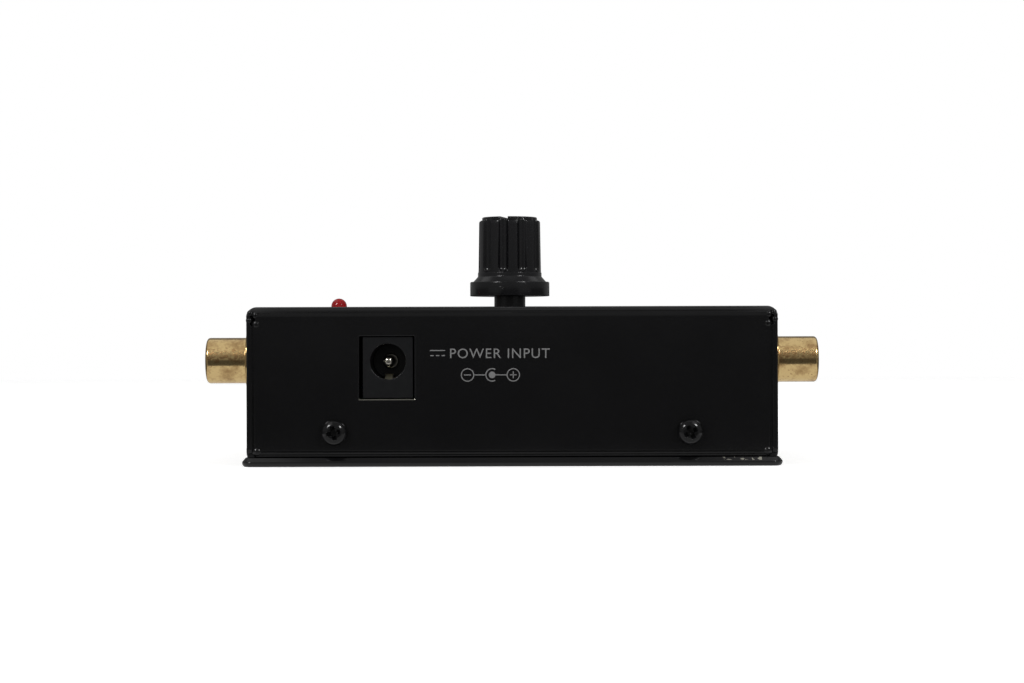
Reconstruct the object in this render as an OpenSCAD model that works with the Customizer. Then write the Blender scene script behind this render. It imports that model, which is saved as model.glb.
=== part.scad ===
// Line preamplifier in a folded steel case: volume knob and lamp on top, power inlet on one long
// side, two phono sockets on each short side. Millimetres, +Z up, standing on Z = 0, with the
// power inlet facing -Y. Input sockets are on the -X side and output sockets on the +X side.

/* [Cover] */
// Width of the cover over its two socket sides
cover_w = 95; // [92:1:110]
// Depth of the cover, inlet side to far side
cover_d = 66; // [64:1:80]
// Height of the top face above the surface that the case stands on
cover_top = 28.6; // [28:0.2:32]
// Thickness of the cover's steel
cover_sheet = 1; // [0.8:0.1:1.1]
// Outer radius of the cover's bends
cover_bend = 1.8; // [1.2:0.1:2.2]
// Gap between the cover's lower edges and the base
cover_gap = 0.1; // [0.1:0.05:0.3]
// Radius of the long flanges' lower outer edge
flange_edge = 0.8; // [0.2:0.1:0.8]
// Width of the open seam where two flanges meet
seam_w = 0.25; // [0.2:0.05:0.4]
// Width of the corner relief at the top of each seam
relief_w = 0.9; // [0.6:0.1:1]
// Height of the corner relief
relief_h = 2.5; // [1.5:0.1:3]
// Radius of the socket flanges' lower corners
flange_corner = 1.5; // [0.5:0.1:2]

/* [Base] */
// Thickness of the base's steel
base_sheet = 1.6; // [1.5:0.1:1.8]
// How far the base stands out past the cover on all four sides
base_overhang = 0.9; // [0.3:0.1:1]
// Radius of the base's corners, seen from above
base_corner = 2; // [0.9:0.1:3]
// Thickness of the strip that stands on the base along each long side
strip_t = 1.6; // [1.4:0.1:2]
// Height of that strip over the base
strip_h = 8.4; // [7:0.1:8.4]
// Space between a strip and the cover's flange
strip_gap = 0.15; // [0.05:0.05:0.2]
// Space left at each end of a strip inside the cover
strip_end_gap = 0.3; // [0.2:0.1:1]

/* [Case screws] */
// Distance between the two screws of one side
case_screw_span = 63.6; // [50:0.5:66]
// Height of the screws' axis
case_screw_z = 6.1; // [5.6:0.1:6.6]
// Diameter of the screws' thread
case_screw_d = 2.5; // [2:0.1:3]
// Diameter of the screws' head
case_screw_head_d = 4.8; // [4.4:0.1:5.2]
// Height of the screws' head
case_screw_head_h = 1.9; // [1.5:0.1:2.1]
// Length of the screws under the head
case_screw_l = 5; // [4:0.5:6]

/* [Circuit board] */
// Thickness of the board
board_t = 1.6; // [1.2:0.1:1.8]
// Space from the board to the cover's socket flanges
board_side_gap = 4.5; // [4:0.1:5]
// Space from the board to the cover's long flanges
board_end_gap = 1.5; // [1:0.1:2]
// Height of the spacers that carry the board
spacer_h = 9; // [8.6:0.1:9.4]
// Width across the flats of a spacer
spacer_af = 5.5; // [5:0.1:5.6]
// Distance of the spacers from the board's short edges
spacer_inset_x = 5; // [4.5:0.1:6]
// Distance of the spacers from the board's long edges
spacer_inset_y = 8.8; // [8.6:0.1:10]
// Diameter of the board screws' thread
board_screw_d = 3; // [2.5:0.1:3]
// Diameter of the board screws' head
board_screw_head_d = 5.4; // [5:0.1:5.6]
// Height of the upper board screws' head
board_screw_head_h = 2; // [1.6:0.1:2.2]
// Height of the lower board screws' countersunk cone
countersink_h = 1.25; // [1:0.05:1.4]
// Diameter of the parts' leads
lead_d = 0.6; // [0.4:0.05:0.7]
// Length of lead that shows under the board
lead_end = 1; // [0.6:0.1:1.4]

/* [Power inlet] */
// Distance of the inlet's axis from the cover's input side
inlet_inset = 25.3; // [24:0.1:27]
// Width of the inlet's housing
inlet_w = 9; // [8.6:0.1:9.4]
// Height of the inlet's housing
inlet_h = 11; // [10.6:0.1:11.4]
// Depth of the inlet's housing
inlet_d = 14.4; // [13.8:0.1:15]
// Height of the inlet's axis over the board
inlet_axis_h = 6.6; // [6.4:0.1:6.8]
// Diameter of the inlet's bore
inlet_bore_d = 6.4; // [6.2:0.1:6.6]
// Depth of the inlet's bore
inlet_bore_l = 9.6; // [9:0.1:10]
// Diameter of the inlet's centre pin
inlet_pin_d = 2.1; // [2:0.1:2.5]
// Diameter of the collar at the centre pin's root
inlet_collar_d = 2.6; // [2.6:0.1:3]
// Distance of the centre pin's tip behind the housing's face
inlet_pin_recess = 1.4; // [1:0.1:2]
// Distance of the housing's face behind the cover's outer face
inlet_recess = 0.5; // [0.2:0.1:0.9]
// Space round the housing in its cut-out
inlet_play = 0.4; // [0.3:0.05:0.6]
// How far the cut-out lies to the left of the housing
inlet_cutout_shift = 0.2; // [0:0.05:0.2]
// Width of the sleeve contact's spring
inlet_spring_w = 2.4; // [2:0.1:2.6]
// Thickness of the inlet's spring and terminals
inlet_strip_t = 0.3; // [0.25:0.05:0.35]

/* [Phono sockets] */
// Distance of the sockets' axes from the middle of the case
socket_y = 17; // [15:0.5:18.5]
// Height of the sockets' axes over the board
socket_h = 6.7; // [6.5:0.1:7]
// Outer diameter of the sockets' barrel
barrel_d = 8.3; // [8.2:0.05:8.4]
// Distance of the barrel's rim from the cover
barrel_l = 9; // [8.5:0.1:10]
// Bore of the barrel
barrel_bore_d = 7.2; // [7:0.05:7.3]
// Radius of the rounding on the barrel's rim
barrel_rim = 0.45; // [0.2:0.05:0.5]
// Diameter of the flange outside the cover
socket_flange_d = 11.5; // [10.5:0.1:12]
// Thickness of that flange
socket_flange_t = 1.5; // [1:0.1:1.8]
// Diameter of the threaded neck through the cover
neck_d = 8; // [7.8:0.05:8.1]
// Bore of the threaded neck
neck_bore_d = 6; // [5.6:0.1:6.2]
// Length of the threaded neck from the cover's outer face
neck_l = 5; // [4.6:0.1:5.4]
// Width across the flats of the sockets' nut
socket_nut_af = 10.5; // [10:0.1:11]
// Thickness of the sockets' nut
socket_nut_t = 2.2; // [1.8:0.1:2.4]
// Thickness of the earth tag
tag_t = 0.5; // [0.4:0.05:0.6]
// Outer diameter of the earth tag's ring
tag_d = 11; // [10.4:0.1:11.2]
// Distance of the earth tag's tip from the socket's axis
tag_reach = 8.6; // [8:0.1:9.5]
// Bore of the centre contact
contact_bore_d = 3.2; // [3.1:0.05:3.3]
// Outer diameter of the centre contact
contact_d = 4.2; // [4:0.05:4.4]
// Distance of the insulator's face behind the barrel's rim
insulator_recess = 1.2; // [0.8:0.1:2]
// Thickness of the insulator's lip in front of the contact
insulator_lip = 0.8; // [0.6:0.1:1]
// Distance of the contact's solder tail from the cover's outer face
tail_reach = 10.5; // [10:0.1:11]
// Diameter of the wires between sockets and board
wire_d = 0.8; // [0.6:0.05:1]

/* [Volume control] */
// Distance of the control's axis from the middle of the case
control_x = -0.4; // [-2:0.1:2]
// Space between the board and the control's case
control_foot = 1; // [0.8:0.1:1.2]
// Thickness of the control's case
control_wall = 0.8; // [0.7:0.05:0.9]
// Thickness of each wafer with a resistive track
wafer_t = 1.2; // [1:0.05:1.3]
// Inner height of each of the two chambers
chamber_h = 3.2; // [3.1:0.05:3.4]
// Thickness of the rotors
rotor_t = 1.2; // [1:0.05:1.3]
// Diameter of the rotors
rotor_d = 12.4; // [12:0.1:12.6]
// Space between the lower rotor and the spacer ring round it
rotor_space = 0.5; // [0.4:0.05:0.6]
// Wall of the spacer ring between the two wafers
spacer_wall = 0.9; // [0.7:0.05:1.1]
// Diameter of the shaft
shaft_d = 6; // [5.6:0.05:6.2]
// Diameter of the shaft's stem between the rotors
stem_d = 4; // [3.6:0.1:4.2]
// Outer diameter of the bushing
bushing_d = 8.8; // [8.4:0.1:9.4]
// Turn of the control from end stop to end stop
control_turn = 300; // [260:5:310]
// Angle of the pointer from the middle of its turn, clockwise from above
pointer_rest = 12; // [0:1:60]

/* [Knob] */
// Diameter of the knob's flange
knob_flange_d = 15.3; // [14.5:0.1:17]
// Height of the knob's flange
knob_flange_h = 2.75; // [2.4:0.05:3]
// Radius of the flange's upper edge
knob_flange_edge = 0.4; // [0.2:0.05:0.5]
// Diameter of the cone's lower end, on the flange
knob_cone_d = 14.1; // [13.6:0.1:14.2]
// Height of the cone between the flange and the lip
knob_cone_h = 1; // [0.8:0.05:1.2]
// Diameter of the lip at the grip's lower end
knob_lip_d = 12.3; // [12.2:0.1:12.6]
// Height of that lip
knob_lip_h = 0.75; // [0.4:0.05:0.75]
// Diameter of the grip over the lip
knob_grip_d = 12.1; // [11.8:0.1:12.4]
// Diameter of the grip at its upper end
knob_grip_top_d = 11.8; // [11.4:0.1:12.2]
// Overall height of the knob
knob_h = 15.2; // [14.5:0.1:17]
// Diameter of the raised disc on top
knob_disc_d = 10.6; // [10:0.1:10.8]
// Height of the raised disc
knob_disc_h = 0.6; // [0.5:0.05:0.8]
// Width of the groove across the disc, in line with the pointer
pointer_groove_w = 1.5; // [1:0.1:2]
// Depth of that groove
pointer_groove_h = 0.45; // [0.2:0.05:0.5]
// Gap between the knob's flange and the cover
knob_gap = 2.45; // [1.5:0.05:3]
// Number of flutes in the grip
flute_count = 10; // [8:1:12]
// Width of a flute
flute_w = 2; // [1.6:0.1:2.2]
// Distance of a flute's floor from the knob's axis
flute_floor = 5.2; // [4.9:0.05:5.5]
// Height of the flutes' lower end over the flange's underside
flute_foot = 4.5; // [4.2:0.1:5]

/* [Lamp] */
// Distance of the lamp from the cover's input side
lamp_inset = 14.1; // [13.5:0.1:16]
// Diameter of the lamp's lens
lamp_d = 3; // [2.9:0.1:3.2]
// Height of the lamp's top over the cover
lamp_rise = 2.1; // [1.8:0.1:2.6]
// Length of the lamp's lens
lamp_l = 5.3; // [5:0.1:5.8]
// Diameter of the lens's rim
lamp_rim_d = 3.8; // [3.6:0.1:4]
// Distance between the lamp's two leads
lamp_pitch = 2.54; // [2.4:0.02:2.7]

/* [Fits] */
// Radial clearance of a part in its hole or thread
fit = 0.05; // [0.03:0.01:0.08]
// Radial clearance of the lamp in the cover
lamp_clearance = 0.1; // [0.05:0.05:0.3]
// Radial clearance of the shaft in the cover
shaft_clearance = 0.5; // [0.3:0.05:0.8]
// Radial clearance of the case screws in the cover
screw_clearance = 0.2; // [0.1:0.05:0.4]
// Radial clearance of leads in the board
lead_clearance = 0.15; // [0.1:0.05:0.2]

/* [Hidden] */
$fn = 64;
eps = 0.01;

// Case
wall_x = cover_w / 2;
wall_y = cover_d / 2;
inner_top = cover_top - cover_sheet;
cover_foot = base_sheet + cover_gap;
base_w = cover_w + 2 * base_overhang;
base_d = cover_d + 2 * base_overhang;
strip_y = wall_y - cover_sheet - strip_gap;
strip_l = cover_w - 2 * (cover_sheet + strip_end_gap);
case_screws = [for (sx = [-1, 1]) sx * case_screw_span / 2];

// Board and its supports
board_w = cover_w - 2 * (cover_sheet + board_side_gap);
board_d = cover_d - 2 * (cover_sheet + board_end_gap);
board_z = base_sheet + spacer_h;
board_top = board_z + board_t;
lead_foot = board_z - lead_end;
lead_r = lead_d / 2;
lead_hole_r = lead_r + lead_clearance;
spacers = [for (sx = [-1, 1]) for (sy = [-1, 1])
    [sx * (board_w / 2 - spacer_inset_x), sy * (board_d / 2 - spacer_inset_y)]];
board_screw_l = 5.8;
base_screw_l = 5.4;

// Power inlet: u runs back from the housing's face, v up from the board
inlet_x = -wall_x + inlet_inset;
inlet_face_y = -wall_y + inlet_recess;
inlet_slot_w = inlet_spring_w + 0.8;
inlet_slot_foot = 0.8;
pivot_u = inlet_d - 2;
pivot_v = 2.35 - inlet_strip_t / 2;
spring_line = [[pivot_u, 2.35], [pivot_u - 3.4, 2.65], [pivot_u - 6.9, 4.4],
    [pivot_u - 7.8, 4.4], [pivot_u - 9.3, 3.3], [pivot_u - 9.7, 2.5]];
spring_tip_u = spring_line[5][0];
anchor_gap = 0.15;
anchor_l = 1.2;
switch_u = pivot_u - 2.5;
switch_v = spring_line[1][1] + 0.1;
switch_w = 1;
switch_gap = 0.1;
inlet_leg_w = 1.2;
inlet_leg_hole_r = 0.75;
inlet_legs = [[0, inlet_d + inlet_strip_t / 2],
    [0, pivot_u + anchor_gap + inlet_strip_t / 2],
    [inlet_w / 2 + switch_gap + inlet_strip_t / 2, switch_u + switch_w / 2]];

// Phono sockets
socket_z = board_top + socket_h;
sockets = [for (sy = [-1, 1]) sy * socket_y];
step_x = wall_x + socket_flange_t;
rim_x = wall_x + barrel_l;
insulator_face_x = rim_x - insulator_recess;
contact_face_x = insulator_face_x - insulator_lip;
contact_root_x = wall_x - neck_l + 1;
neck_end_x = wall_x - neck_l;
tail_x = wall_x - tail_reach;
tail_r = 0.8;
signal_wire_x = board_w / 2 - spacer_inset_x - board_screw_head_d / 2 - wire_d / 2 - 0.6;
earth_wire_x = wall_x - 7.2;
earth_wire_y = socket_y - tag_reach + 1;

// Volume control, from the board up
control_z = board_top + control_foot;
ring_fit = 0.1;
control_bore_r = rotor_d / 2 + rotor_space + spacer_wall + ring_fit;
control_r = control_bore_r + control_wall;
spacer_ring_z = control_z + wafer_t;
upper_wafer_z = spacer_ring_z + chamber_h;
upper_chamber_z = upper_wafer_z + wafer_t;
control_lid_z = upper_chamber_z + chamber_h;
control_lid = 1.2;
bushing_top = inner_top - 0.5;
bushing_seat_r = shaft_d / 2 + 1.1;
bushing_collar_t = 1;
bushing_collar_d = bushing_d + 2;
rotor_gap = 0.2;
upper_rotor_z = control_lid_z - rotor_gap - rotor_t;
lower_rotor_z = upper_wafer_z - 0.5 - rotor_t;
track_t = 0.1;
ear_w = 13.2;
ear_y = control_r + 1.1;
case_tab_w = 1.5;
case_tab_rise = 2;
terminal_w = 1;
terminal_pitch = 5;
terminal_row = 2.5;
lower_row_y = ear_y + 0.8;
upper_row_y = lower_row_y + terminal_row;
stop_half = 20;
lug_half = (360 - control_turn) / 2 - stop_half - 0.5;
pointer_angle = -90 - pointer_rest;

// Knob
knob_z = cover_top + knob_gap;
knob_top = knob_z + knob_h;
shoulder_h = 0.4;
cone_z = knob_z + knob_flange_h;
lip_z = cone_z + knob_cone_h;
grip_foot_z = lip_z + knob_lip_h;
shaft_top = knob_z + 11;
flat_z = knob_z + 1;
flat_depth = 1.5;

// Lamp
lamp_top = cover_top + lamp_rise;
lamp_foot = lamp_top - lamp_l;
lamp_x = -wall_x + lamp_inset;

// Places of the board's parts: X and Y of each body's middle
opamp_at = [20, 0];
opamp_w = 6.4;
opamp_l = 9.6;
opamp_h = 3.3;
opamp_foot = 0.6;
opamp_row = 7.62;
opamp_pitch = 2.54;
front_edge = -board_d / 2;
filter_cap_at = [-5, front_edge + 8.5];
filter_cap_d = 8;
filter_cap_h = 11.5;
filter_cap_pitch = 3.5;
coupling_caps_at = [[-24, 5], [-24, -5], [29, 5.5], [29, -5.5]];
coupling_cap_d = 5;
coupling_cap_h = 11;
coupling_cap_pitch = 2;
film_caps_at = [[20, 11], [20, -11]];
film_cap_size = [7.2, 2.5, 6.5];
film_cap_pitch = 5;
resistor_d = 2.4;
resistor_l = 6.3;
resistor_span = 10.2;
resistor_gap = 1.8;
resistor_inset = 5;
resistor_pitch = 7;
resistor_inner_x = 14;
resistor_outer_x = resistor_inner_x + resistor_span + resistor_gap;
resistors_at = [for (s = [-1, 1]) for (x = [resistor_inner_x, resistor_outer_x]) for (i = [0, 1])
    [s * x, -front_edge - resistor_inset - i * resistor_pitch]];
diode_inset = 2.5;
diode_at = [-5, front_edge + diode_inset];
diode_d = 2.7;
diode_l = 5.2;
diode_span = 10.2;
regulator_inset = 6.5;
regulator_at = [8, front_edge + regulator_inset];
regulator_d = 4.8;
regulator_h = 4.6;
regulator_foot = 1.5;
regulator_pitch = 1.9;

// Box outline with its two upper corners rounded, and its two lower ones if they have a radius
module channel_outline(w, top, r, foot, foot_r = 0) {
    translate([-w / 2, foot + foot_r]) square([w, top - r - foot - foot_r]);
    translate([-w / 2 + r, foot + foot_r]) square([w - 2 * r, top - foot - foot_r]);
    translate([-w / 2 + foot_r, foot]) square([w - 2 * foot_r, top - r - foot]);
    for (s = [-1, 1]) {
        translate([s * (w / 2 - r), top - r]) circle(r);
        if (foot_r > 0) translate([s * (w / 2 - foot_r), foot + foot_r]) circle(foot_r);
    }
}

// Block with rounded upper edges on all four sides, and rounded lower edges on its long sides
module rounded_block(w, d, top, r, foot, foot_r = 0) {
    intersection() {
        rotate([90, 0, 0]) translate([0, 0, -d / 2 - 1])
            linear_extrude(d + 2) channel_outline(w, top, r, foot);
        rotate([90, 0, 90]) translate([0, 0, -w / 2 - 1])
            linear_extrude(w + 2) channel_outline(d, top, r, foot, foot_r);
    }
}

// Cylinder along X from x1 to x2
module rod_x(x1, x2, d) {
    translate([min(x1, x2), 0, 0]) rotate([0, 90, 0]) cylinder(h = abs(x2 - x1), d = d);
}

// Cylinder along Y from y1 to y2
module rod_y(y1, y2, d) {
    translate([0, y2, 0]) rotate([90, 0, 0]) cylinder(h = y2 - y1, d = d);
}

// Disc with a rounded upper edge
module eased_disc(d, h, edge) {
    cylinder(h = h - edge, d = d);
    translate([0, 0, h - edge - eps]) cylinder(h = edge + eps, d = d - 2 * edge);
    translate([0, 0, h - edge]) rotate_extrude() translate([d / 2 - edge, 0]) circle(edge);
}

// Pan-head screw: head upwards from Z = 0, thread downwards, with a cross recess
module pan_screw(d, head_d, head_h, l) {
    dome_r = (head_d * head_d / 4 + head_h * head_h / 4) / head_h * 1.35;
    difference() {
        union() {
            intersection() {
                cylinder(h = head_h, d = head_d);
                translate([0, 0, head_h - dome_r]) sphere(dome_r, $fn = 96);
            }
            translate([0, 0, -l]) cylinder(h = l + eps, d = d);
        }
        for (a = [0, 90]) rotate([0, 0, a])
            translate([-head_d * 0.29, -head_d * 0.08, head_h * 0.4])
                cube([head_d * 0.58, head_d * 0.16, head_h]);
    }
}

module top_cover() color([0.08, 0.08, 0.08]) difference() {
    rounded_block(cover_w, cover_d, cover_top, cover_bend, cover_foot, flange_edge);
    rounded_block(cover_w - 2 * cover_sheet, cover_d - 2 * cover_sheet, inner_top,
        cover_bend - cover_sheet, cover_foot - 1);
    for (sx = [-1, 1]) for (sy = [-1, 1]) {
        corner_seam(sx, sy);
        flange_corner_cut(sx, sy);
    }
    translate([control_x, 0, inner_top - 1])
        cylinder(h = cover_sheet + 2, r = shaft_d / 2 + shaft_clearance);
    translate([lamp_x, 0, inner_top - 1])
        cylinder(h = cover_sheet + 2, r = lamp_d / 2 + lamp_clearance);
    translate([inlet_x - inlet_cutout_shift - inlet_w / 2 - inlet_play, -wall_y - 1,
        board_top - inlet_play / 4])
        cube([inlet_w + 2 * inlet_play, cover_sheet + 2, inlet_h + inlet_play / 2]);
    for (x = case_screws) translate([x, 0, case_screw_z])
        rod_y(-wall_y - 1, wall_y + 1, case_screw_d + 2 * screw_clearance);
    for (y = sockets) translate([0, y, socket_z]) rod_x(-wall_x - 1, wall_x + 1, neck_d + 2 * fit);
}

// Open seam between a long flange and a socket flange, with its relief at the top
module corner_seam(sx, sy) {
    seam_x = wall_x - cover_sheet - seam_w / 2;
    relief_z = cover_top - cover_bend / 2 - relief_h / 2;
    y1 = sy > 0 ? wall_y - cover_sheet - eps : -wall_y - 1;
    y2 = sy > 0 ? wall_y + 1 : -wall_y + cover_sheet + eps;
    translate([sx * seam_x - seam_w / 2, y1, cover_foot - 1])
        cube([seam_w, y2 - y1, relief_z - cover_foot + 1]);
    translate([sx * seam_x, 0, relief_z]) {
        for (v = [-1, 1]) translate([0, 0, v * (relief_h - relief_w) / 2]) rod_y(y1, y2, relief_w);
        translate([-relief_w / 2, y1, -(relief_h - relief_w) / 2])
            cube([relief_w, y2 - y1, relief_h - relief_w]);
    }
}

// Takes the sharp lower corner off a socket flange
module flange_corner_cut(sx, sy) {
    r = flange_corner;
    translate([sx > 0 ? wall_x - cover_sheet : -wall_x - 1, 0, cover_foot]) difference() {
        translate([0, sy > 0 ? wall_y - r : -wall_y - 1, -1]) cube([cover_sheet + 1, r + 1, r + 1]);
        translate([-1, sy * (wall_y - r), r]) rotate([0, 90, 0]) cylinder(h = cover_sheet + 3, r = r);
    }
}

// Flat plate with full-round edges, and a strip along each long side that takes the case screws
module base_plate() color([0.1, 0.1, 0.1]) difference() {
    union() {
        base_bottom();
        for (s = [-1, 1]) translate([-strip_l / 2, s > 0 ? strip_y - strip_t : -strip_y, base_sheet - eps])
            cube([strip_l, strip_t, strip_h + eps]);
    }
    for (p = spacers) translate([p[0], p[1], 0]) {
        translate([0, 0, -1]) cylinder(h = base_sheet + 2, r = board_screw_d / 2 + fit);
        translate([0, 0, -eps]) cylinder(h = countersink_h + 2 * fit,
            r1 = board_screw_head_d / 2 + 2 * fit, r2 = board_screw_d / 2 + fit);
    }
    for (x = case_screws) translate([x, 0, case_screw_z]) rod_y(-wall_y, wall_y, case_screw_d + 2 * fit);
}

// The plate itself, its corners rounded as seen from above
module base_bottom() intersection() {
    rotate([90, 0, 0]) translate([0, 0, -base_d / 2 - 1]) linear_extrude(base_d + 2) plate_outline(base_w);
    rotate([90, 0, 90]) translate([0, 0, -base_w / 2 - 1]) linear_extrude(base_w + 2) plate_outline(base_d);
    translate([0, 0, -1]) linear_extrude(base_sheet + 2) {
        translate([-base_w / 2, -base_d / 2 + base_corner]) square([base_w, base_d - 2 * base_corner]);
        translate([-base_w / 2 + base_corner, -base_d / 2]) square([base_w - 2 * base_corner, base_d]);
        for (sx = [-1, 1]) for (sy = [-1, 1])
            translate([sx * (base_w / 2 - base_corner), sy * (base_d / 2 - base_corner)])
                circle(base_corner);
    }
}
module plate_outline(w) {
    r = base_sheet / 2;
    translate([-w / 2 + r, 0]) square([w - 2 * r, base_sheet]);
    for (s = [-1, 1]) translate([s * (w / 2 - r), r]) circle(r);
}

module case_screws() color([0.1, 0.1, 0.1])
    for (x = case_screws) for (s = [-1, 1]) translate([x, s * wall_y, case_screw_z])
        rotate([s > 0 ? -90 : 90, 0, 0]) rotate([0, 0, x > 0 ? 28 : 12])
            pan_screw(case_screw_d, case_screw_head_d, case_screw_head_h, case_screw_l);

module board_spacers() color([0.75, 0.75, 0.78])
    for (p = spacers) translate([p[0], p[1], base_sheet]) difference() {
        cylinder(h = spacer_h, d = spacer_af / cos(30), $fn = 6);
        translate([0, 0, -1]) cylinder(h = spacer_h + 2, r = board_screw_d / 2 + fit);
    }

module base_screws() color([0.6, 0.6, 0.62])
    for (p = spacers) translate([p[0], p[1], fit]) difference() {
        union() {
            cylinder(h = countersink_h, d1 = board_screw_head_d, d2 = board_screw_d);
            cylinder(h = base_screw_l, d = board_screw_d);
        }
        for (a = [0, 90]) rotate([0, 0, a]) translate([-1.4, -0.4, -1]) cube([2.8, 0.8, 2]);
    }

module board_screws() color([0.7, 0.7, 0.72])
    for (p = spacers) translate([p[0], p[1], board_top])
        pan_screw(board_screw_d, board_screw_head_d, board_screw_head_h, board_screw_l);

// X, Y and radius of every hole in the board
board_holes = concat(
    [for (p = spacers) [p[0], p[1], board_screw_d / 2 + 0.1]],
    [for (p = inlet_legs) [inlet_x + p[0], inlet_face_y + p[1], inlet_leg_hole_r]],
    [for (s = [-1, 1]) for (y = sockets) [s * signal_wire_x, y, wire_d / 2 + lead_clearance]],
    [for (s = [-1, 1]) for (y = [-1, 1]) [s * earth_wire_x, y * earth_wire_y, wire_d / 2 + lead_clearance]],
    [for (i = [-1, 0, 1]) for (y = [lower_row_y, upper_row_y]) [control_x + i * terminal_pitch, y, 0.7]],
    [for (s = [-1, 1]) [control_x + s * (control_r - control_wall / 2), 0, 1]],
    [for (s = [-1, 1]) [lamp_x + s * lamp_pitch / 2, 0, lead_hole_r]],
    [for (p = opamp_pin_places()) [p[0], p[1], 0.5]],
    [for (s = [-1, 1]) [filter_cap_at[0] + s * filter_cap_pitch / 2, filter_cap_at[1], lead_hole_r]],
    [for (p = coupling_caps_at) for (s = [-1, 1]) [p[0] + s * coupling_cap_pitch / 2, p[1], lead_hole_r]],
    [for (p = film_caps_at) for (s = [-1, 1]) [p[0] + s * film_cap_pitch / 2, p[1], lead_hole_r]],
    [for (p = resistors_at) for (s = [-1, 1]) [p[0] + s * resistor_span / 2, p[1], lead_hole_r]],
    [for (s = [-1, 1]) [diode_at[0] + s * diode_span / 2, diode_at[1], lead_hole_r]],
    [for (i = [-1, 0, 1]) [regulator_at[0] + i * regulator_pitch, regulator_at[1], lead_hole_r]]);

function opamp_pin_places() = [for (s = [-1, 1]) for (i = [-1.5, -0.5, 0.5, 1.5])
    [opamp_at[0] + s * opamp_row / 2, opamp_at[1] + i * opamp_pitch, s]];

module circuit_board() color([0.1, 0.4, 0.2]) difference() {
    translate([-board_w / 2, -board_d / 2, board_z]) cube([board_w, board_d, board_t]);
    for (h = board_holes) translate([h[0], h[1], board_z - 1]) cylinder(h = board_t + 2, r = h[2]);
}

// Frame of the power inlet: X across, Y back from the housing's face, Z up from the board
module at_inlet() translate([inlet_x, inlet_face_y, board_top]) children();

module inlet_housing() color([0.15, 0.15, 0.16]) at_inlet() difference() {
    bore_foot = inlet_axis_h - inlet_bore_d / 2;
    translate([-inlet_w / 2, 0, 0]) cube([inlet_w, inlet_d, inlet_h]);
    translate([0, 0, inlet_axis_h]) rod_y(-1, inlet_bore_l, inlet_bore_d);
    translate([0, 0, inlet_axis_h]) rod_y(inlet_bore_l - 1, inlet_d + 1, inlet_collar_d + 2 * fit);
    translate([-inlet_slot_w / 2, spring_tip_u - 0.9, inlet_slot_foot])
        cube([inlet_slot_w, inlet_d, bore_foot + 0.3 - inlet_slot_foot]);
    translate([0, switch_u - 0.2, -1])
        cube([inlet_w, switch_w + 0.4, switch_v + inlet_strip_t + 1.1]);
    translate([-inlet_slot_w / 2, pivot_u, -1]) cube([inlet_slot_w, inlet_d, 2]);
}

module inlet_pin() color([0.75, 0.75, 0.72]) at_inlet() {
    tip_u = inlet_pin_recess + inlet_pin_d / 2;
    plate_w = inlet_collar_d + 0.6;
    translate([0, 0, inlet_axis_h]) {
        rod_y(tip_u, inlet_bore_l, inlet_pin_d);
        translate([0, tip_u, 0]) sphere(d = inlet_pin_d);
        rod_y(inlet_bore_l, inlet_d + eps, inlet_collar_d);
    }
    translate([-inlet_leg_w / 2, inlet_d, -board_t - lead_end])
        cube([inlet_leg_w, inlet_strip_t, inlet_axis_h + board_t + lead_end]);
    translate([-plate_w / 2, inlet_d, 1])
        cube([plate_w, inlet_strip_t, inlet_axis_h + plate_w / 2 - 1]);
}

// Moving spring that presses on the plug's sleeve
module inlet_spring() color([0.8, 0.78, 0.7]) at_inlet()
    translate([-inlet_spring_w / 2, 0, 0]) rotate([90, 0, 90]) linear_extrude(inlet_spring_w)
        polygon(concat(spring_line,
            [for (i = [len(spring_line) - 1:-1:0]) spring_line[i] - [0, inlet_strip_t]]));

// Fixed strip behind the spring, which ends in the sleeve's terminal
module inlet_anchor() color([0.8, 0.78, 0.7]) at_inlet() {
    u = pivot_u + anchor_gap;
    translate([-inlet_spring_w / 2, u, pivot_v - inlet_strip_t / 2])
        cube([inlet_spring_w, anchor_l, inlet_strip_t]);
    translate([-inlet_leg_w / 2, u, -board_t - lead_end])
        cube([inlet_leg_w, inlet_strip_t, pivot_v + board_t + lead_end]);
}

// Fixed contact that the resting spring touches, opened by a plug
module inlet_switch_contact() color([0.8, 0.78, 0.7]) at_inlet() {
    leg_x = inlet_w / 2 + switch_gap;
    translate([-inlet_spring_w / 2, switch_u, switch_v])
        cube([inlet_spring_w / 2 + leg_x + inlet_strip_t, switch_w, inlet_strip_t]);
    translate([leg_x, switch_u, -board_t - lead_end])
        cube([inlet_strip_t, switch_w, switch_v + inlet_strip_t + board_t + lead_end]);
}

// Frame of one phono socket on the +X side, mirrored for the -X side
module at_socket(sx, sy) mirror([sx < 0 ? 1 : 0, 0, 0]) translate([0, sy * socket_y, socket_z]) children();

module socket_barrel(sx, sy) color([0.83, 0.68, 0.35]) at_socket(sx, sy) difference() {
    union() {
        rod_x(neck_end_x, wall_x + eps, neck_d);
        rod_x(wall_x, step_x, socket_flange_d);
        rod_x(step_x - eps, rim_x - barrel_rim, barrel_d);
        rod_x(rim_x - barrel_rim - eps, rim_x, barrel_d - 2 * barrel_rim);
        translate([rim_x - barrel_rim, 0, 0]) rotate([0, 90, 0])
            rotate_extrude() translate([barrel_d / 2 - barrel_rim, 0]) circle(barrel_rim);
    }
    rod_x(neck_end_x - 1, rim_x, neck_bore_d);
    rod_x(step_x, rim_x + 1, barrel_bore_d);
}

module socket_insulator(sx, sy) color([0.85, 0.83, 0.78]) at_socket(sx, sy) difference() {
    union() {
        rod_x(neck_end_x - 1, step_x + 1, neck_bore_d - 2 * fit);
        rod_x(step_x + fit, insulator_face_x, barrel_bore_d - 2 * fit);
    }
    rod_x(contact_root_x - 4, contact_face_x, contact_d + 2 * fit);
    rod_x(contact_face_x - 1, rim_x, contact_bore_d + 0.4);
}

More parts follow.
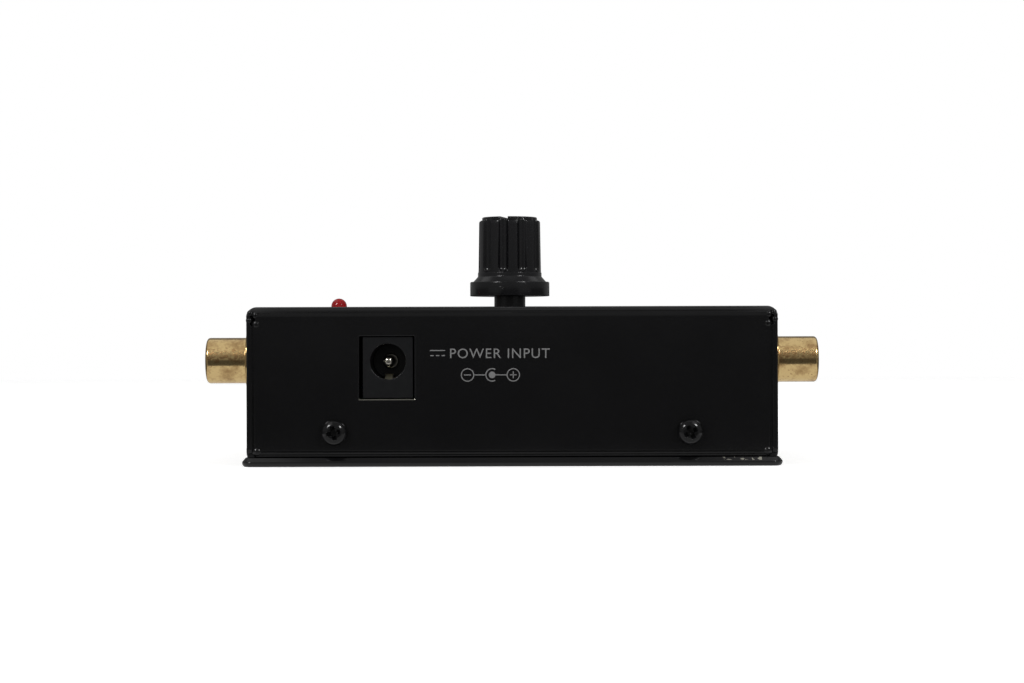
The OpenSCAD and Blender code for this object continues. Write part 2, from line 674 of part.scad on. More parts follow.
// Slotted tube that takes the plug's pin, with a solder tail behind
module socket_contact(sx, sy) color([0.83, 0.7, 0.4]) at_socket(sx, sy) {
    difference() {
        rod_x(contact_root_x, contact_face_x, contact_d);
        rod_x(contact_root_x + 1.5, contact_face_x + 1, contact_bore_d);
        for (a = [45, 135]) rotate([a, 0, 0])
            translate([contact_root_x + 3, -contact_d, -0.2])
                cube([contact_face_x, 2 * contact_d, 0.4]);
    }
    rod_x(tail_x, contact_root_x + eps, 2 * tail_r);
}

// Tinned ring with a side tab for the earth wire, clamped between cover and nut
module socket_tag(sx, sy) color([0.78, 0.78, 0.8]) at_socket(sx, sy) {
    x = wall_x - cover_sheet - tag_t;
    difference() {
        union() {
            rod_x(x, x + tag_t, tag_d);
            translate([x, sy > 0 ? -tag_reach : 0, -1.5]) cube([tag_t, tag_reach, 3]);
        }
        rod_x(x - 1, x + tag_t + 1, neck_d + 2 * fit);
    }
}

module socket_nut(sx, sy) color([0.8, 0.66, 0.35]) at_socket(sx, sy)
    translate([wall_x - cover_sheet - tag_t - socket_nut_t, 0, 0]) rotate([0, 90, 0]) difference() {
        cylinder(h = socket_nut_t, d = socket_nut_af / cos(30), $fn = 6);
        translate([0, 0, -1]) cylinder(h = socket_nut_t + 2, d = neck_d + 2 * fit);
    }

// Signal and earth wires of the two sockets on one side
module socket_wires(sx) color([0.75, 0.75, 0.75]) for (sy = [-1, 1]) mirror([sx < 0 ? 1 : 0, 0, 0]) {
    bent_wire(tail_x, signal_wire_x, sy * socket_y);
    bent_wire(wall_x - cover_sheet - tag_t, earth_wire_x, sy * earth_wire_y);
}
module bent_wire(x_from, x_to, y) {
    translate([0, y, socket_z]) rod_x(x_to, x_from, wire_d);
    translate([x_to, y, socket_z]) sphere(d = wire_d);
    translate([x_to, y, lead_foot]) cylinder(h = socket_z - lead_foot, d = wire_d);
}

// Part of a ring between two radii, within half an angle either side of a direction
module ring_sector(r1, r2, h, direction, half) {
    far = r2 * 2;
    intersection() {
        difference() {
            cylinder(h = h, r = r2);
            translate([0, 0, -1]) cylinder(h = h + 2, r = r1);
        }
        rotate([0, 0, direction]) linear_extrude(h)
            polygon([[0, 0], [far * cos(half), -far * sin(half)], [far * cos(half), far * sin(half)]]);
    }
}

module control_case() color([0.7, 0.7, 0.72]) {
    difference() {
        translate([0, 0, control_z]) cylinder(h = control_lid_z - control_z + control_lid, r = control_r);
        translate([0, 0, control_z - 1]) cylinder(h = control_lid_z - control_z + 1, r = control_bore_r);
        translate([0, 0, control_z]) cylinder(h = control_lid_z, r = bushing_seat_r);
        translate([-ear_w / 2 - 0.2, 0, control_z - 1])
            cube([ear_w + 0.4, control_r + 1, upper_chamber_z - control_z + 1.6]);
    }
    translate([0, 0, upper_chamber_z + 0.5])
        ring_sector(rotor_d / 2 + 0.4, control_bore_r + 0.3, chamber_h - 0.5 + eps, 90, stop_half);
    for (s = [-1, 1]) translate([s * (control_r - control_wall / 2) - 0.3, -case_tab_w / 2, lead_foot])
        cube([0.6, case_tab_w, control_z - lead_foot + case_tab_rise]);
}

module control_bushing() color([0.78, 0.7, 0.45]) difference() {
    collar_z = control_lid_z + control_lid;
    union() {
        translate([0, 0, control_lid_z]) cylinder(h = control_lid, r = bushing_seat_r - fit);
        translate([0, 0, collar_z]) cylinder(h = bushing_collar_t, d = bushing_collar_d);
        translate([0, 0, collar_z]) cylinder(h = bushing_top - collar_z, d = bushing_d);
    }
    translate([0, 0, control_lid_z - 1]) cylinder(h = bushing_top, r = shaft_d / 2 + fit);
}

// Moulded shaft with the upper rotor and its stop lug
module control_shaft() color([0.07, 0.07, 0.07]) {
    difference() {
        translate([0, 0, upper_rotor_z]) cylinder(h = shaft_top - upper_rotor_z, d = shaft_d);
        rotate([0, 0, pointer_angle + 180]) translate([shaft_d / 2 - flat_depth, -shaft_d, flat_z])
            cube([shaft_d, 2 * shaft_d, shaft_top]);
    }
    translate([0, 0, upper_rotor_z]) {
        cylinder(h = rotor_t, d = rotor_d);
        ring_sector(rotor_d / 2 - 1, rotor_d / 2 + 1, rotor_t, pointer_angle, lug_half);
    }
    translate([0, 0, spacer_ring_z + 0.5]) cylinder(h = upper_rotor_z - spacer_ring_z, d = stem_d);
    translate([0, 0, control_z + 0.4]) cylinder(h = wafer_t + 1, d = stem_d / 2);
}

module control_rotor() color([0.85, 0.85, 0.8]) translate([0, 0, lower_rotor_z]) difference() {
    cylinder(h = rotor_t, d = rotor_d);
    translate([0, 0, -1]) cylinder(h = rotor_t + 2, r = stem_d / 2 + fit);
}

// Two brushes that slide on the tracks, one under each rotor
module control_wipers() color([0.8, 0.6, 0.35])
    for (z = [[upper_chamber_z, upper_rotor_z], [spacer_ring_z, lower_rotor_z]])
        rotate([0, 0, pointer_angle]) {
            translate([2.6, -0.9, z[1] - 0.25]) cube([3.2, 1.8, 0.25]);
            for (x = [3.1, 5.3]) translate([x, 0, z[0] + track_t + fit])
                cylinder(h = z[1] - z[0] - track_t - fit - 0.2, r = 0.4);
        }

module wafer(z, bore_d) color([0.5, 0.3, 0.15]) translate([0, 0, z]) difference() {
    union() {
        cylinder(h = wafer_t, r = control_bore_r - ring_fit);
        translate([-ear_w / 2, 0, 0]) cube([ear_w, ear_y, wafer_t]);
        translate([0, 0, wafer_t - eps]) ring_sector(4.8, 5.8, track_t + eps, -90, 160);
        translate([0, 0, wafer_t - eps]) ring_sector(2.6, 3.6, track_t + eps, -90, 160);
    }
    translate([0, 0, -1]) cylinder(h = wafer_t + 3, d = bore_d);
}
module control_lower_wafer() wafer(control_z, stem_d / 2 + 2 * fit);
module control_upper_wafer() wafer(upper_wafer_z, stem_d + 0.6);

module control_spacer() color([0.1, 0.1, 0.1]) translate([0, 0, spacer_ring_z]) difference() {
    cylinder(h = chamber_h, r = control_bore_r - ring_fit);
    translate([0, 0, -1]) cylinder(h = chamber_h + 2, r = rotor_d / 2 + rotor_space);
}

module control_terminals() color([0.78, 0.78, 0.8]) for (i = [-1, 0, 1])
    translate([i * terminal_pitch - terminal_w / 2, 0, 0]) {
        terminal(control_z - 0.3, lower_row_y);
        terminal(upper_chamber_z, upper_row_y);
    }
module terminal(z, row_y) {
    translate([0, ear_y - 2, z]) cube([terminal_w, row_y - ear_y + 2.15, 0.3]);
    translate([0, row_y - 0.15, lead_foot]) cube([terminal_w, 0.3, z + 0.3 - lead_foot]);
}

module volume_knob() color([0.11, 0.11, 0.12]) difference() {
    union() {
        translate([0, 0, knob_z]) eased_disc(knob_flange_d, knob_flange_h, knob_flange_edge);
        translate([0, 0, cone_z - eps])
            cylinder(h = knob_cone_h + eps, d1 = knob_cone_d, d2 = knob_lip_d);
        translate([0, 0, lip_z - eps]) cylinder(h = knob_lip_h + eps, d = knob_lip_d);
        translate([0, 0, grip_foot_z - eps])
            cylinder(h = knob_top - knob_disc_h - shoulder_h - grip_foot_z + eps,
                d1 = knob_grip_d, d2 = knob_grip_top_d);
        translate([0, 0, knob_top - knob_disc_h - shoulder_h - eps])
            cylinder(h = shoulder_h + eps, d1 = knob_grip_top_d, d2 = knob_grip_top_d - 2 * shoulder_h);
        translate([0, 0, knob_top - knob_disc_h - eps]) eased_disc(knob_disc_d, knob_disc_h + eps, 0.25);
        rotate([0, 0, pointer_angle])
            translate([knob_flange_d / 2 - 1, -0.4, knob_z + 0.3]) cube([1.2, 0.8, 1.5]);
    }
    for (i = [0:flute_count - 1]) rotate([0, 0, pointer_angle + i * 360 / flute_count]) flute();
    rotate([0, 0, pointer_angle])
        translate([-knob_disc_d, -pointer_groove_w / 2, knob_top - pointer_groove_h])
            cube([2 * knob_disc_d, pointer_groove_w, 1]);
    translate([0, 0, knob_z - 1]) cylinder(h = flat_z - knob_z + 1, r = shaft_d / 2 + fit);
    difference() {
        translate([0, 0, flat_z - eps]) cylinder(h = shaft_top + 0.5 - flat_z, r = shaft_d / 2 + fit);
        rotate([0, 0, pointer_angle + 180])
            translate([shaft_d / 2 - flat_depth + fit, -shaft_d, flat_z])
                cube([shaft_d, 2 * shaft_d, shaft_top]);
    }
}

// One flute: a parallel groove with a half-round floor and a round lower end
module flute() {
    r = flute_w / 2;
    c = flute_floor + r;
    foot = knob_z + flute_foot + r;
    translate([c, 0, foot]) cylinder(h = knob_top, r = r);
    translate([c, 0, foot]) sphere(r);
    translate([c, -r, foot]) cube([knob_flange_d, 2 * r, knob_top]);
    translate([c, 0, foot]) rotate([0, 90, 0]) cylinder(h = knob_flange_d, r = r);
}

module lamp_lens() color([0.7, 0.05, 0.05]) translate([lamp_x, 0, lamp_foot]) {
    cylinder(h = 1, d = lamp_rim_d);
    cylinder(h = lamp_l - lamp_d / 2, d = lamp_d);
    translate([0, 0, lamp_l - lamp_d / 2]) sphere(d = lamp_d);
}

module lamp_leads() color([0.78, 0.78, 0.8])
    for (s = [-1, 1]) translate([lamp_x + s * lamp_pitch / 2, 0, lead_foot])
        cylinder(h = lamp_foot - lead_foot, d = lead_d);

module lamp_spacer() color([0.9, 0.9, 0.86]) translate([lamp_x, 0, board_top]) difference() {
    cylinder(h = lamp_foot - board_top - fit, d = lamp_rim_d + 0.8);
    for (s = [-1, 1]) translate([s * lamp_pitch / 2, 0, -1])
        cylinder(h = lamp_foot - board_top + 2, r = lead_r + fit);
}

// Straight lead from a height down through the board
module lead(x, y, top) translate([x, y, lead_foot]) cylinder(h = top - lead_foot, d = lead_d);

// Part with an axial lead at each end, bent down into the board
module axial_part(at, d, l, span) {
    z = board_top + d / 2;
    translate([at[0], at[1], z]) {
        rod_x(-l / 2, l / 2, d);
        rod_x(-span / 2, span / 2, lead_d);
    }
    for (s = [-1, 1]) {
        translate([at[0] + s * span / 2, at[1], z]) sphere(d = lead_d);
        lead(at[0] + s * span / 2, at[1], z);
    }
}

// Round can that stands on two leads
module can_capacitor(at, d, h, pitch) {
    translate([at[0], at[1], board_top]) difference() {
        cylinder(h = h, d = d);
        translate([0, 0, 1.6]) rotate_extrude() translate([d / 2 + 0.3, 0]) circle(0.6);
    }
    for (s = [-1, 1]) lead(at[0] + s * pitch / 2, at[1], board_top + eps);
}

module opamp_package() color([0.12, 0.12, 0.13]) difference() {
    translate([opamp_at[0] - opamp_w / 2, opamp_at[1] - opamp_l / 2, board_top + opamp_foot])
        cube([opamp_w, opamp_l, opamp_h]);
    translate([opamp_at[0], opamp_at[1] + opamp_l / 2, board_top + opamp_foot + opamp_h - 0.5])
        cylinder(h = 1, r = 0.8);
}

module opamp_pins() color([0.78, 0.78, 0.8]) for (p = opamp_pin_places()) {
    z = board_top + opamp_foot + opamp_h / 2;
    outer = (opamp_row - opamp_w) / 2 + 0.13;
    translate([p[2] > 0 ? opamp_at[0] + opamp_w / 2 : p[0] - 0.13, p[1] - 0.5, z - 0.25])
        cube([outer, 1, 0.25]);
    translate([p[0] - 0.13, p[1] - 0.25, lead_foot]) cube([0.26, 0.5, z - lead_foot]);
}

module filter_capacitor() color([0.1, 0.12, 0.35])
    can_capacitor(filter_cap_at, filter_cap_d, filter_cap_h, filter_cap_pitch);

module coupling_capacitors() color([0.12, 0.12, 0.14]) for (p = coupling_caps_at)
    can_capacitor(p, coupling_cap_d, coupling_cap_h, coupling_cap_pitch);

module film_capacitors() color([0.7, 0.15, 0.12]) for (p = film_caps_at) {
    translate([p[0] - film_cap_size[0] / 2, p[1] - film_cap_size[1] / 2, board_top]) cube(film_cap_size);
    for (s = [-1, 1]) lead(p[0] + s * film_cap_pitch / 2, p[1], board_top + eps);
}

module resistors() color([0.35, 0.5, 0.65]) for (p = resistors_at)
    axial_part(p, resistor_d, resistor_l, resistor_span);

module supply_diode() color([0.1, 0.1, 0.1]) axial_part(diode_at, diode_d, diode_l, diode_span);

module voltage_regulator() color([0.1, 0.1, 0.11]) {
    translate([regulator_at[0], regulator_at[1], board_top + regulator_foot]) intersection() {
        cylinder(h = regulator_h, d = regulator_d);
        translate([-regulator_d, -regulator_d / 2, 0])
            cube([2 * regulator_d, regulator_d * 0.8, regulator_h]);
    }
    for (i = [-1, 0, 1])
        lead(regulator_at[0] + i * regulator_pitch, regulator_at[1], board_top + regulator_foot + eps);
}

top_cover();
base_plate();
case_screws();
board_spacers();
base_screws();
board_screws();
circuit_board();
inlet_housing();
inlet_pin();
inlet_spring();
inlet_anchor();
inlet_switch_contact();
socket_barrel(-1, 1);  // input_left_barrel
socket_insulator(-1, 1);  // input_left_insulator
socket_contact(-1, 1);  // input_left_contact
socket_tag(-1, 1);  // input_left_tag
socket_nut(-1, 1);  // input_left_nut
socket_barrel(-1, -1);  // input_right_barrel
socket_insulator(-1, -1);  // input_right_insulator
socket_contact(-1, -1);  // input_right_contact
socket_tag(-1, -1);  // input_right_tag
socket_nut(-1, -1);  // input_right_nut
socket_barrel(1, 1);  // output_left_barrel
socket_insulator(1, 1);  // output_left_insulator
socket_contact(1, 1);  // output_left_contact
socket_tag(1, 1);  // output_left_tag
socket_nut(1, 1);  // output_left_nut
socket_barrel(1, -1);  // output_right_barrel
socket_insulator(1, -1);  // output_right_insulator
socket_contact(1, -1);  // output_right_contact
socket_tag(1, -1);  // output_right_tag
socket_nut(1, -1);  // output_right_nut
socket_wires(-1);  // input_wires
socket_wires(1);  // output_wires
translate([control_x, 0, 0]) control_case();
translate([control_x, 0, 0]) control_bushing();
translate([control_x, 0, 0]) control_shaft();
translate([control_x, 0, 0]) control_rotor();
translate([control_x, 0, 0]) control_wipers();
translate([control_x, 0, 0]) control_lower_wafer();
translate([control_x, 0, 0]) control_upper_wafer();
translate([control_x, 0, 0]) control_spacer();
translate([control_x, 0, 0]) control_terminals();
translate([control_x, 0, 0]) volume_knob();
lamp_lens();
lamp_leads();
lamp_spacer();
opamp_package();
opamp_pins();
filter_capacitor();
coupling_capacitors();
film_capacitors();
resistors();
supply_diode();
voltage_regulator();
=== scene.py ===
"""Line preamplifier in a black folded steel case, dressed for its picture.

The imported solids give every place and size. Shapes are made in millimetres, in the part's own frame
(+X towards the output sockets, -Y towards the power inlet, +Z up), and turned to metres at the end.
"""
from math import atan2, copysign, cos, pi, radians, sin, sqrt

import bmesh
import bpy
from mathutils import Matrix, Vector


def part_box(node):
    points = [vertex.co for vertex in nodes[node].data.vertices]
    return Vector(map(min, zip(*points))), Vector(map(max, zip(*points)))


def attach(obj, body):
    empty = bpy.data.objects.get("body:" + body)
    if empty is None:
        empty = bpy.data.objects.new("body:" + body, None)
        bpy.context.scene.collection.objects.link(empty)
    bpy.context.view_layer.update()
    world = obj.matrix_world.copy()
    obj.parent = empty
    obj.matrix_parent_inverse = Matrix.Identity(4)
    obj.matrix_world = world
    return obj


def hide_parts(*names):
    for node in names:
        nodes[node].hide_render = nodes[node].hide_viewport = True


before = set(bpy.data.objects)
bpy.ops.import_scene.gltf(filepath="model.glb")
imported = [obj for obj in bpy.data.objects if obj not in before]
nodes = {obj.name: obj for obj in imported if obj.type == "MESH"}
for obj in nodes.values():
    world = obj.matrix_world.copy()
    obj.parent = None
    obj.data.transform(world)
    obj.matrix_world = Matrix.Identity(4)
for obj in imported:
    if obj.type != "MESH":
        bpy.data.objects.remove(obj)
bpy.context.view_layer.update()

MM = 0.001
UP = Vector((0, 0, 1))


def box_of(node):
    """Lowest and highest corner of a node, in millimetres."""
    low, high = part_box(node)
    return low / MM, high / MM


# Camera: square to the inlet side and rolled a little, as far off as the perspective of the barrels says
CAMERA_AT = (0, -433, 22.3)
CAMERA_ROLL = 0.17
CAMERA_LENS = 78.75
CAMERA_SENSOR = 36

camera_data = bpy.data.cameras.new("camera")
camera_data.lens = CAMERA_LENS
camera_data.sensor_width = CAMERA_SENSOR
camera_data.clip_start = 0.01
camera = bpy.data.objects.new("camera", camera_data)
camera.location = Vector(CAMERA_AT) * MM
camera.rotation_euler = (pi / 2, radians(CAMERA_ROLL), 0)
bpy.context.scene.collection.objects.link(camera)
bpy.context.scene.camera = camera


# Materials

def linear(hex_colour):
    """Linear colour of an sRGB hex value."""
    parts = [int(hex_colour[i:i + 2], 16) / 255 for i in (1, 3, 5)]
    return [c / 12.92 if c <= 0.04045 else ((c + 0.055) / 1.055) ** 2.4 for c in parts] + [1]


def add(tree, kind, settings=None, inputs=None, gives=0, into=()):
    """Adds a node, sets its settings, fills its inputs with values or links, links the output that it
    gives to the sockets named, and returns that output."""
    node = tree.nodes.new(kind)
    for name, value in (settings or {}).items():
        setattr(node, name, value)
    for name, value in (inputs or {}).items():
        if isinstance(value, bpy.types.NodeSocket):
            tree.links.new(value, node.inputs[name])
        else:
            node.inputs[name].default_value = value
    for socket in into:
        tree.links.new(node.outputs[gives], socket)
    return node.outputs[gives]


def new_look(name, colour, roughness, **sockets):
    """A material with its plain values set on the shader: returns it with its node tree, the shader's
    sockets and the object's own coordinates."""
    look = bpy.data.materials.new(name)
    look.use_nodes = True
    tree = look.node_tree
    shader = tree.nodes["Principled BSDF"].inputs
    shader["Base Color"].default_value = linear(colour)
    shader["Roughness"].default_value = roughness
    for socket, value in sockets.items():
        shader[socket.replace("_", " ")].default_value = value
    look.diffuse_color = linear(colour)
    place = add(tree, "ShaderNodeTexCoord", gives="Object")
    return look, tree, shader, place


def per_metre(size_mm):
    """Texture scale at which a pattern's cells are about this size."""
    return 1 / (size_mm * MM)


def black_powder_coat():
    """Gloss powder coat baked on folded steel: near black and mirror-like, its highlights softened by
    a fine orange peel, and clouded a little where it was handled."""
    look, tree, shader, place = new_look("black powder coat", "#09090a", 0.17, IOR=1.5)
    peel = add(tree, "ShaderNodeTexNoise",
               inputs={"Vector": place, "Scale": per_metre(1.4), "Detail": 1.0})
    add(tree, "ShaderNodeBump", inputs={"Height": peel, "Distance": 0.005 * MM}, into=[shader["Normal"]])
    cloud = add(tree, "ShaderNodeTexNoise",
                inputs={"Vector": place, "Scale": per_metre(16), "Detail": 3.0})
    add(tree, "ShaderNodeMapRange", inputs={"Value": cloud, "To Min": 0.12, "To Max": 0.24},
        into=[shader["Roughness"]])
    add(tree, "ShaderNodeMix", {"data_type": "RGBA"},
        {0: cloud, 6: linear("#080809"), 7: linear("#0b0b0c")}, gives=2, into=[shader["Base Color"]])
    return look


def bare_steel_in(look, name, box, cell, share):
    """Lets bare steel show through a coat inside a box, in specks of about this size, and in more of
    them the larger the share."""
    look = look.copy()
    look.name = name
    tree = look.node_tree
    shader = tree.nodes["Principled BSDF"].inputs
    coat = shader["Base Color"].links[0].from_socket
    low, high = (Vector(corner) * MM for corner in box)
    place = add(tree, "ShaderNodeTexCoord", gives="Object")
    offset = add(tree, "ShaderNodeVectorMath", {"operation": "SUBTRACT"}, {0: place, 1: (low + high) / 2})
    scaled = add(tree, "ShaderNodeVectorMath", {"operation": "DIVIDE"}, {0: offset, 1: (high - low) / 2})
    away = add(tree, "ShaderNodeVectorMath", {"operation": "ABSOLUTE"}, {0: scaled})
    axes = add(tree, "ShaderNodeSeparateXYZ", inputs={0: away}).node.outputs
    wider = add(tree, "ShaderNodeMath", {"operation": "MAXIMUM"}, {0: axes["X"], 1: axes["Y"]})
    widest = add(tree, "ShaderNodeMath", {"operation": "MAXIMUM"}, {0: wider, 1: axes["Z"]})
    inside = add(tree, "ShaderNodeMath", {"operation": "LESS_THAN"}, {0: widest, 1: 1.0})
    grit = add(tree, "ShaderNodeTexNoise",
               inputs={"Vector": place, "Scale": per_metre(cell), "Detail": 2.0})
    knocked = add(tree, "ShaderNodeMath", {"operation": "LESS_THAN"}, {0: grit, 1: share})
    bare = add(tree, "ShaderNodeMath", {"operation": "MULTIPLY"}, {0: inside, 1: knocked},
               into=[shader["Metallic"]])
    add(tree, "ShaderNodeMix", {"data_type": "RGBA"}, {0: bare, 6: coat, 7: linear("#b5b2a6")},
        gives=2, into=[shader["Base Color"]])
    return look


def black_oxide_steel():
    """Black-finished screw steel: glossy and oily, with fine turning marks under the finish."""
    look, tree, shader, place = new_look("black oxide screw steel", "#0a0a0b", 0.12, IOR=1.5)
    marks = add(tree, "ShaderNodeTexNoise",
                inputs={"Vector": place, "Scale": per_metre(0.3), "Detail": 2.0})
    add(tree, "ShaderNodeBump", inputs={"Height": marks, "Distance": 0.004 * MM}, into=[shader["Normal"]])
    add(tree, "ShaderNodeMapRange", inputs={"Value": marks, "To Min": 0.06, "To Max": 0.2},
        into=[shader["Roughness"]])
    return look


# Height of a painted dark reflection: the gold of the sockets is painted browner and duller in a band
# round this height, where the dark horizon is mirrored
DARK_REFLECTION_Z = 19.9


def tarnished_gold_plate():
    """Thin gold plate on turned brass: warm yellow metal, browned in specks and worn patches, where it
    is also duller. A band a little above the sockets' axis is painted browner and duller still, as a
    painted dark reflection of the horizon."""
    look, tree, shader, place = new_look("gold plate on brass", "#ecca8e", 0.2, Metallic=1.0)
    patches = add(tree, "ShaderNodeTexNoise",
                  inputs={"Vector": place, "Scale": per_metre(2.4), "Detail": 4.0, "Roughness": 0.6})
    specks = add(tree, "ShaderNodeTexNoise",
                 inputs={"Vector": place, "Scale": per_metre(0.5), "Detail": 3.0, "Roughness": 0.65})
    height = add(tree, "ShaderNodeSeparateXYZ", inputs={0: place}, gives="Z")
    # Painted reflection: the brown specks grow in a band round this height, standing in for the dark
    # horizon mirrored in the gold
    off_band = add(tree, "ShaderNodeMath", {"operation": "SUBTRACT"}, {0: height, 1: DARK_REFLECTION_Z * MM})
    away = add(tree, "ShaderNodeMath", {"operation": "ABSOLUTE"}, {0: off_band})
    painted_dark_band = add(tree, "ShaderNodeMapRange",
                  inputs={"Value": away, "From Max": 2.4 * MM, "To Min": 0.2, "To Max": 0.0})
    mottle = add(tree, "ShaderNodeMath", {"operation": "ADD"}, {0: specks, 1: painted_dark_band})
    worn = add(tree, "ShaderNodeMapRange",
               inputs={"Value": patches, "From Min": 0.46, "From Max": 0.68, "To Max": 0.7})
    spotted = add(tree, "ShaderNodeMapRange",
                  inputs={"Value": mottle, "From Min": 0.6, "From Max": 0.74, "To Max": 0.9})
    share = add(tree, "ShaderNodeMath", {"operation": "MAXIMUM"}, {0: worn, 1: spotted})
    bright = add(tree, "ShaderNodeMix", {"data_type": "RGBA"},
                 {0: patches, 6: linear("#f6d99c"), 7: linear("#e2c086")}, gives=2)
    add(tree, "ShaderNodeMix", {"data_type": "RGBA"}, {0: share, 6: bright, 7: linear("#9c764c")},
        gives=2, into=[shader["Base Color"]])
    add(tree, "ShaderNodeMapRange", inputs={"Value": share, "To Min": 0.14, "To Max": 0.28},
        into=[shader["Roughness"]])
    add(tree, "ShaderNodeBump", inputs={"Height": specks, "Distance": 0.005 * MM},
        into=[shader["Normal"]])
    return look


def charcoal_abs():
    """Moulded ABS of the knob: charcoal with a soft shine, on a fine spark-eroded grain."""
    look, tree, shader, place = new_look("moulded charcoal ABS", "#0d0d0f", 0.2, IOR=1.53)
    grain = add(tree, "ShaderNodeTexNoise",
                inputs={"Vector": place, "Scale": per_metre(0.2), "Detail": 2.0})
    add(tree, "ShaderNodeBump", inputs={"Height": grain, "Distance": 0.001 * MM}, into=[shader["Normal"]])
    rubbed = add(tree, "ShaderNodeTexNoise",
                 inputs={"Vector": place, "Scale": per_metre(3.5), "Detail": 3.0})
    add(tree, "ShaderNodeMapRange", inputs={"Value": rubbed, "To Min": 0.14, "To Max": 0.26},
        into=[shader["Roughness"]])
    add(tree, "ShaderNodeMix", {"data_type": "RGBA"},
        {0: rubbed, 6: linear("#0b0b0d"), 7: linear("#0f0f11")}, gives=2, into=[shader["Base Color"]])
    return look


def grey_nylon():
    """Moulded glass-filled nylon of the power inlet: dark grey and dull, with a faint flow mottle."""
    look, tree, shader, place = new_look("moulded dark grey nylon", "#08090b", 0.34, IOR=1.53)
    flow = add(tree, "ShaderNodeTexNoise",
               inputs={"Vector": place, "Scale": per_metre(0.9), "Detail": 3.0})
    skin = add(tree, "ShaderNodeTexNoise",
               inputs={"Vector": place, "Scale": per_metre(0.2), "Detail": 1.0})
    add(tree, "ShaderNodeBump", inputs={"Height": skin, "Distance": 0.004 * MM}, into=[shader["Normal"]])
    add(tree, "ShaderNodeMix", {"data_type": "RGBA"},
        {0: flow, 6: linear("#07080a"), 7: linear("#0a0b0d")}, gives=2, into=[shader["Base Color"]])
    add(tree, "ShaderNodeMapRange", inputs={"Value": flow, "To Min": 0.28, "To Max": 0.4},
        into=[shader["Roughness"]])
    return look


def plated_metal(name, colour, dull, roughness, grain_mm=0.4):
    """Plated or tinned metal: one bright tone, clouded by a duller one in fine grain."""
    look, tree, shader, place = new_look(name, colour, roughness, Metallic=1.0)
    grain = add(tree, "ShaderNodeTexNoise",
                inputs={"Vector": place, "Scale": per_metre(grain_mm), "Detail": 3.0})
    add(tree, "ShaderNodeMix", {"data_type": "RGBA"}, {0: grain, 6: linear(colour), 7: linear(dull)},
        gives=2, into=[shader["Base Color"]])
    add(tree, "ShaderNodeMapRange",
        inputs={"Value": grain, "To Min": roughness * 0.6, "To Max": roughness * 1.4},
        into=[shader["Roughness"]])
    add(tree, "ShaderNodeBump", inputs={"Height": grain, "Distance": 0.002 * MM}, into=[shader["Normal"]])
    return look


def moulded_plastic(name, colour, deep, roughness, grain_mm=0.5):
    """Moulded plastic or epoxy: an even tone that deepens a little in clouds, on a slight grain."""
    look, tree, shader, place = new_look(name, colour, roughness, IOR=1.5)
    cloud = add(tree, "ShaderNodeTexNoise",
                inputs={"Vector": place, "Scale": per_metre(grain_mm * 4), "Detail": 2.0})
    add(tree, "ShaderNodeMix", {"data_type": "RGBA"}, {0: cloud, 6: linear(colour), 7: linear(deep)},
        gives=2, into=[shader["Base Color"]])
    add(tree, "ShaderNodeMapRange",
        inputs={"Value": cloud, "To Min": roughness * 0.8, "To Max": roughness * 1.2},
        into=[shader["Roughness"]])
    grain = add(tree, "ShaderNodeTexNoise",
                inputs={"Vector": place, "Scale": per_metre(grain_mm), "Detail": 1.0})
    add(tree, "ShaderNodeBump", inputs={"Height": grain, "Distance": 0.003 * MM}, into=[shader["Normal"]])
    return look


def red_epoxy():
    """Tinted clear epoxy of the lamp, unlit: a deep red that lightens at its edge against the light."""
    look, tree, shader, place = new_look("tinted red epoxy", "#b8161c", 0.08, IOR=1.52)
    shader["Transmission Weight"].default_value = 0.45
    swirl = add(tree, "ShaderNodeTexNoise",
                inputs={"Vector": place, "Scale": per_metre(0.8), "Detail": 2.0})
    add(tree, "ShaderNodeMix", {"data_type": "RGBA"},
        {0: swirl, 6: linear("#a81218"), 7: linear("#c81c22")}, gives=2, into=[shader["Base Color"]])
    add(tree, "ShaderNodeMapRange", inputs={"Value": swirl, "To Min": 0.05, "To Max": 0.12},
        into=[shader["Roughness"]])
    return look


def grey_screen_ink():
    """Screen-printed ink: matt mid grey, a little uneven where the mesh laid it thin."""
    look, tree, shader, place = new_look("grey screen-print ink", "#686868", 0.6, IOR=1.5)
    thin = add(tree, "ShaderNodeTexNoise",
               inputs={"Vector": place, "Scale": per_metre(0.3), "Detail": 2.0})
    add(tree, "ShaderNodeMix", {"data_type": "RGBA"},
        {0: thin, 6: linear("#5e5e5e"), 7: linear("#727272")}, gives=2, into=[shader["Base Color"]])
    add(tree, "ShaderNodeBump", inputs={"Height": thin, "Distance": 0.003 * MM}, into=[shader["Normal"]])
    return look


def green_laminate():
    """Glass-epoxy board under green solder mask: the woven glass and the copper tracks show through."""
    look, tree, shader, place = new_look("green glass-epoxy laminate", "#1f5a33", 0.35, IOR=1.5)
    weave = add(tree, "ShaderNodeTexBrick", {"offset": 0.0},
                {"Vector": place, "Scale": per_metre(1.2), "Mortar Size": 0.08, "Row Height": 1.0,
                 "Brick Width": 1.0}, gives="Fac")
    edges = add(tree, "ShaderNodeTexVoronoi", {"feature": "DISTANCE_TO_EDGE"},
                {"Vector": place, "Scale": per_metre(9)})
    copper = add(tree, "ShaderNodeMapRange",
                 inputs={"Value": edges, "From Min": 0.04, "From Max": 0.05, "To Min": 1.0,
                         "To Max": 0.0})
    base = add(tree, "ShaderNodeMix", {"data_type": "RGBA"},
               {0: copper, 6: linear("#17482a"), 7: linear("#2e7a48")}, gives=2)
    woven = add(tree, "ShaderNodeMath", {"operation": "MULTIPLY"}, {0: weave, 1: 0.25})
    add(tree, "ShaderNodeMix", {"data_type": "RGBA"}, {0: woven, 6: base, 7: linear("#4f9a63")},
        gives=2, into=[shader["Base Color"]])
    add(tree, "ShaderNodeBump", inputs={"Height": copper, "Distance": 0.03 * MM}, into=[shader["Normal"]])
    return look


COVER_LOW, COVER_HIGH = box_of("top_cover")
POWDER_COAT = black_powder_coat()
